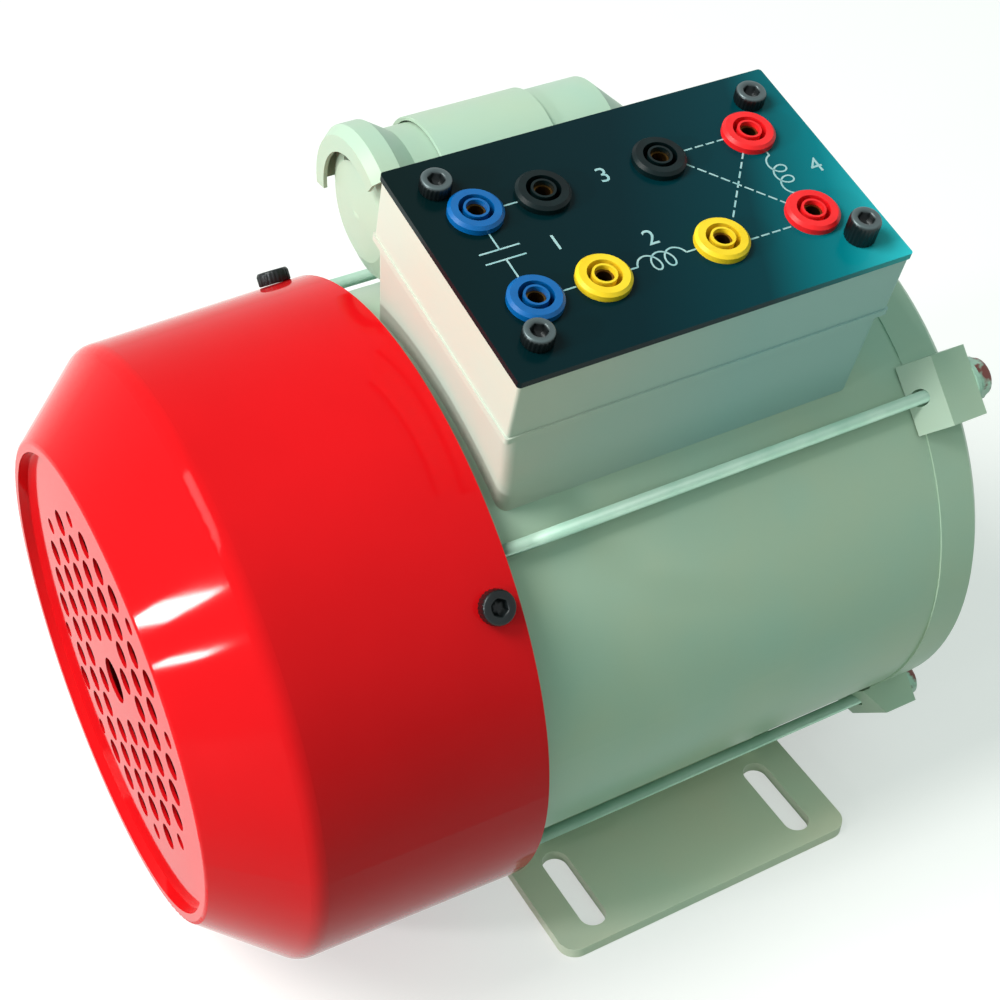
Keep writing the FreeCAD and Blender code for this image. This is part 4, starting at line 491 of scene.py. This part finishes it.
circuit = (
    straight((-16, -44.5), (-16, -40)) + straight((-9, -52.4), (-2.8, -52.4))
    + straight((-2.8, -58.3), (-2.8, -46.5)) + straight((0.8, -58.3), (0.8, -46.5))
    + straight((0.8, -52.4), (8.4, -52.4)) + straight((15.5, -44.6), (15.5, -40.2))
    + straight((15.5, -24.8), (15.5, -21.8)) + coil((15.5, -21.8), (15.5, -7.0), 2, 2.2, 2.8)
    + straight((15.5, -7.0), (15.5, -4.1)) + straight((-8.6, 34.0), (-7.2, 34.0))
    + coil((-7.2, 34.0), (7.6, 33.0), 2, 2.2, -2.3) + straight((7.6, 33.0), (8.8, 32.8))
    + dashed((-17, 12.3), (-17, 25.6)) + dashed((-12.4, 10.0), (10.6, 28.8))
    + dashed((-10.6, 27.6), (9.2, 11.6)) + dashed((17.8, 11.6), (17.8, 24.6)))
circuit_print = tubes_piece("circuit_print", circuit, white_ink, "stator")

# %% [markdown]
# The numbers come from the built-in font, as flat letters with a hair of thickness. They are made
# a mesh first, and the mesh is then laid on the panel with its top towards the far long side.

# %% Printed numbers
NUMBER_SIZE = 7.5
NUMBER_THICKNESS = 0.02
NUMBER_PLACES = {"1": (0.5, -37.5), "2": (7.8, -13.3), "3": (-16.5, -13.5), "4": (0.8, 44.3)}
for number, (across, along) in NUMBER_PLACES.items():
    letters = bpy.data.curves.new("letters_" + number, "FONT")
    letters.body = number
    letters.size = NUMBER_SIZE * MM
    letters.align_x = "CENTER"
    letters.align_y = "CENTER"
    letters.extrude = NUMBER_THICKNESS * MM
    carrier = bpy.data.objects.new("carrier_" + number, letters)
    bpy.context.collection.objects.link(carrier)
    mesh = bpy.data.meshes.new_from_object(carrier)
    bpy.data.objects.remove(carrier)
    spot = in_box(across, along, PANEL_FACE + 0.03)
    turn = Matrix((ALONG, -ACROSS, OUT)).transposed()
    mesh.transform(Matrix.Translation(Vector(spot)) @ turn.to_4x4())
    mesh.materials.clear()
    mesh.materials.append(white_ink)
    piece = bpy.data.objects.new("panel_number_" + number, mesh)
    bpy.context.collection.objects.link(piece)
    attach(piece, "stator")
print("numbers on the panel:", len(NUMBER_PLACES))

# %% [markdown]
# Screws and bolts are turned shapes. Each is a pile of rings round its own axis: a ring can be a
# circle, a knurled circle or a hexagon, and neighbouring rings are joined.


# %% Turned shapes
ANGLE = np.linspace(0, 2 * math.pi, 96, endpoint=False)
CIRCLE = np.ones_like(ANGLE)
KNURL = 1 + 0.03 * np.cos(24 * ANGLE)
HEXAGON = 1 / np.cos(np.mod(ANGLE, math.pi / 3) - math.pi / 6)


def turned(foot, axis, rows):
    """A ring (reach, level, shape) has the points
    foot + level * axis + reach * shape * (cos a * side + sin a * up)."""
    axis = np.asarray(axis, float)
    side = np.cross(axis, ALONG) if abs(axis @ ALONG) < 0.9 else np.cross(axis, ACROSS)
    side /= np.linalg.norm(side)
    round_axis = np.cos(ANGLE)[:, None] * side + np.sin(ANGLE)[:, None] * np.cross(axis, side)
    return np.stack([foot + MM * (level * axis + reach * shape[:, None] * round_axis)
                     for reach, level, shape in rows])


# %% [markdown]
# The screws are blackened socket-head cap screws. A real head is a knurled cylinder with a
# chamfered rim and a hexagon socket. Its rim is painted paler, a painted highlight for the glint
# there. The head at the near corner of the drive end is built taller than the other three, as a
# painted reflection of that head in the glossy panel.


# %% Socket-head cap screws on the panel
def cap_screw(foot, axis, radius, height, socket_width, depth):
    """Rings up the knurled side, over the chamfered rim and down the hexagon socket."""
    wide = socket_width / 2
    return turned(foot, axis, [
        (radius * 0.96, 0.0, CIRCLE), (radius, 0.3, KNURL), (radius, height - 1.0, KNURL),
        (radius * 0.985, height - 0.5, CIRCLE), (radius * 0.93, height - 0.12, CIRCLE),
        (radius * 0.86, height, CIRCLE), (wide * 1.32, height, CIRCLE),
        (wide * 1.2, height - 0.15, CIRCLE), (wide, height - 0.5, HEXAGON),
        (wide, height - depth, HEXAGON), (wide * 0.2, height - depth - 0.3, CIRCLE)])


# Painted highlight: the rim rings of each head carry a share of the pale tone.
SCREW_PAINTED_HIGHLIGHT = np.repeat([0, 0, 0, 0.05, 0.3, 0.3, 0.2, 0.15, 0, 0, 0], len(ANGLE))
# The last head stands 3 mm taller: that extra height is a painted reflection of the head in the
# panel.
PANEL_SCREWS = [(-27.5, -58.2, 4.2), (-27.5, 40.2, 4.2), (27.5, -58.2, 4.2), (27.5, 40.2, 7.2)]
PANEL_HEAD_RADIUS, PANEL_SOCKET, SOCKET_DEPTH = 4.25, 4.0, 2.6
heads = [cap_screw(in_box(across, along, PANEL_FACE), OUT, PANEL_HEAD_RADIUS, height, PANEL_SOCKET,
                   SOCKET_DEPTH)
         for across, along, height in PANEL_SCREWS]
panel_screw_heads = tubes_piece("panel_screw_heads", heads, black_oxide, "stator", True,
                                np.tile(SCREW_PAINTED_HIGHLIGHT, len(PANEL_SCREWS)))
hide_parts("panel_screws")

# %% [markdown]
# Four of the same screws hold the cowl, each standing on the skirt and pointing at the shaft.

# %% Cowl screws
SCREW_TURN = 45 - 7.4
SCREW_ALONG = -78.3
SEAT_RADIUS = 95.9
COWL_HEAD_RADIUS, COWL_HEAD_HEIGHT, COWL_SOCKET = 4.75, 4.0, 4.2


def cowl_screw(turn):
    """Axis = (cos turn, 0, sin turn) from the shaft line; foot = shaft + SEAT_RADIUS * axis."""
    axis = np.array([math.cos(math.radians(turn)), 0.0, math.sin(math.radians(turn))])
    foot = SHAFT + MM * (SEAT_RADIUS * axis + SCREW_ALONG * ALONG)
    return cap_screw(foot, axis, COWL_HEAD_RADIUS, COWL_HEAD_HEIGHT, COWL_SOCKET, SOCKET_DEPTH)


heads = [cowl_screw(SCREW_TURN + 90 * quarter) for quarter in range(4)]
cowl_screw_heads = tubes_piece("cowl_screw_heads", heads, black_oxide, "stator", True)
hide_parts("cowl_screws")

# %% [markdown]
# Four long bolts clamp the end shields on the yoke. Each is a slim plain rod with a broad hexagon
# head bearing on a washer at the drive end; the fan end is screwed into the other shield.

# %% Tie bolts
BOLT_CIRCLE = 91.3
ROD_START, ROD_RADIUS = -88.0, 1.9
HEAD_HALF, HEAD_END = 5.6, 91.2
rows = [(ROD_RADIUS, ROD_START, CIRCLE), (ROD_RADIUS, HEAD_START, CIRCLE),
        (HEAD_HALF * 1.02, HEAD_START, CIRCLE), (HEAD_HALF, HEAD_START + 0.3, HEXAGON),
        (HEAD_HALF, HEAD_END - 0.9, HEXAGON), (HEAD_HALF * 1.02, HEAD_END - 0.2, CIRCLE),
        (HEAD_HALF * 0.9, HEAD_END, CIRCLE)]
bolts = []
for turn_degrees in (45, 135, 225, 315):
    turn = math.radians(turn_degrees)
    foot = SHAFT + MM * BOLT_CIRCLE * np.array([math.cos(turn), 0.0, math.sin(turn)])
    bolts.append(turned(foot, ALONG, rows))
tie_bolt_set = tubes_piece("tie_bolt_set", bolts, painted_bolt, "stator", True)
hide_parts("tie_bolts")

# %% [markdown]
# The stage is a pale floor and a white surround. The camera and shiny surfaces see both at full
# white; for the soft light that they throw back, both are dimmer, so that the undersides of the
# machine stay in shade as they do on a bench. The soft light is greenish, and it is stronger from
# high on the near side and from in front of the cowl, as from two big windows.

# %% Floor and surround
FLOOR_HALF = 2.0
FLOOR_GLOW = 0.48
floor_mesh = bpy.data.meshes.new("floor")
corners = [(-FLOOR_HALF, -FLOOR_HALF, 0), (FLOOR_HALF, -FLOOR_HALF, 0),
           (FLOOR_HALF, FLOOR_HALF, 0), (-FLOOR_HALF, FLOOR_HALF, 0)]
floor_mesh.from_pydata(corners, [], [(0, 1, 2, 3)])
floor = bpy.data.objects.new("floor", floor_mesh)
bpy.context.collection.objects.link(floor)


def bright_where_seen(tree):
    """One where the ray comes from the camera, a mirror or glass, and zero for soft light."""
    rays = tree.nodes.new("ShaderNodeLightPath").outputs
    bright = rays["Is Camera Ray"]
    for other in ("Is Glossy Ray", "Is Transmission Ray"):
        either = add_node(tree, "ShaderNodeMath", {"0": bright, "1": rays[other]},
                          operation="MAXIMUM")
        bright = either.outputs["Value"]
    return bright


floor_paint, tree, shader, place = new_finish("pale_floor")
tone = add_node(tree, "ShaderNodeMix", {"0": bright_where_seen(tree)}, data_type="RGBA")
tone.inputs[6].default_value = linear("#94a89a")
tone.inputs[7].default_value = linear("#c4c4c4")
tree.links.new(tone.outputs[2], shader.inputs["Base Color"])
glow = add_node(tree, "ShaderNodeMath", {"0": bright_where_seen(tree)}, operation="MULTIPLY")
glow.inputs[1].default_value = FLOOR_GLOW
shader.inputs["Emission Color"].default_value = (1, 1, 1, 1)
tree.links.new(glow.outputs["Value"], shader.inputs["Emission Strength"])
shader.inputs["Roughness"].default_value = 0.9
shader.inputs["Specular IOR Level"].default_value = 0.1
floor.data.materials.append(floor_paint)

world = bpy.data.worlds.new("studio")
bpy.context.scene.world = world
world.use_nodes = True
tree = world.node_tree
sky = tree.nodes.new("ShaderNodeTexCoord").outputs["Generated"]


def glow_from(direction, colour, so_far):
    """Light = so far + colour * max(0, ray . direction) ** 4, which gives a facing wall a third."""
    facing = add_node(tree, "ShaderNodeVectorMath", {"0": sky}, operation="DOT_PRODUCT")
    facing.inputs[1].default_value = Vector(direction).normalized()
    front = add_node(tree, "ShaderNodeMath", {"0": facing.outputs["Value"]}, operation="MAXIMUM")
    front.inputs[1].default_value = 0.0
    narrow = add_node(tree, "ShaderNodeMath", {"0": front.outputs["Value"]}, operation="POWER")
    narrow.inputs[1].default_value = 4.0
    light = add_node(tree, "ShaderNodeVectorMath", {"Scale": narrow.outputs["Value"]},
                     operation="SCALE")
    light.inputs[0].default_value = colour
    return add_node(tree, "ShaderNodeVectorMath", {"0": so_far, "1": light.outputs["Vector"]},
                    operation="ADD").outputs["Vector"]


soft_level = add_node(tree, "ShaderNodeCombineXYZ", X=0.105, Y=0.19, Z=0.16).outputs["Vector"]
soft_level = glow_from((0.28, 0.3, 0.95), (0.56, 0.68, 0.6), soft_level)
soft_level = glow_from((0.13, -0.94, 0.31), (0.55, 0.5, 0.46), soft_level)
seen_tone = blended(tree, bright_where_seen(tree), soft_level, "#ffffff")
tree.links.new(seen_tone, tree.nodes["Background"].inputs["Color"])

# %% [markdown]
# One large soft lamp above the fan end models the top. In front of the cowl stand two narrow
# panes, which give the bright bars of a window on the glossy cone. A lamp's light at distance d
# is power / (pi * d) ** 2, so the power is worked out from the level wanted at the motor.

# %% Lamps
LAMP_AIM = Vector((0.0, -0.02, 0.12))


def soft_lamp(name, direction, distance_mm, width_mm, length_mm, roll, level, colour):
    """A rectangular lamp on a direction from the motor; power = level * (pi * d) ** 2."""
    towards = Vector(direction).normalized()
    distance = distance_mm * MM
    data = bpy.data.lights.new(name, "AREA")
    data.shape = "RECTANGLE"
    data.size = width_mm * MM
    data.size_y = length_mm * MM
    data.energy = level * (math.pi * distance) ** 2
    data.color = colour
    lamp = bpy.data.objects.new(name, data)
    turn = (-towards).to_track_quat("-Z", "Y").to_matrix().to_4x4() @ Matrix.Rotation(roll, 4, "Z")
    lamp.matrix_world = Matrix.Translation(LAMP_AIM + towards * distance) @ turn
    bpy.context.collection.objects.link(lamp)
    print(name, "power:", round(data.energy, 2), "W")


soft_lamp("top_lamp", (-0.1, -0.6, 0.8), 2200, 1000, 1000, 0, 0.95, (1.0, 0.97, 0.93))
soft_lamp("upper_pane", (0.06, -0.933, 0.345), 1300, 110, 60, 0, 0.34, (1.0, 1.0, 1.0))
soft_lamp("lower_pane", (0.238, -0.946, 0.221), 1300, 58, 26, 0, 0.09, (1.0, 1.0, 1.0))
bpy.context.scene.view_settings.view_transform = "Standard"
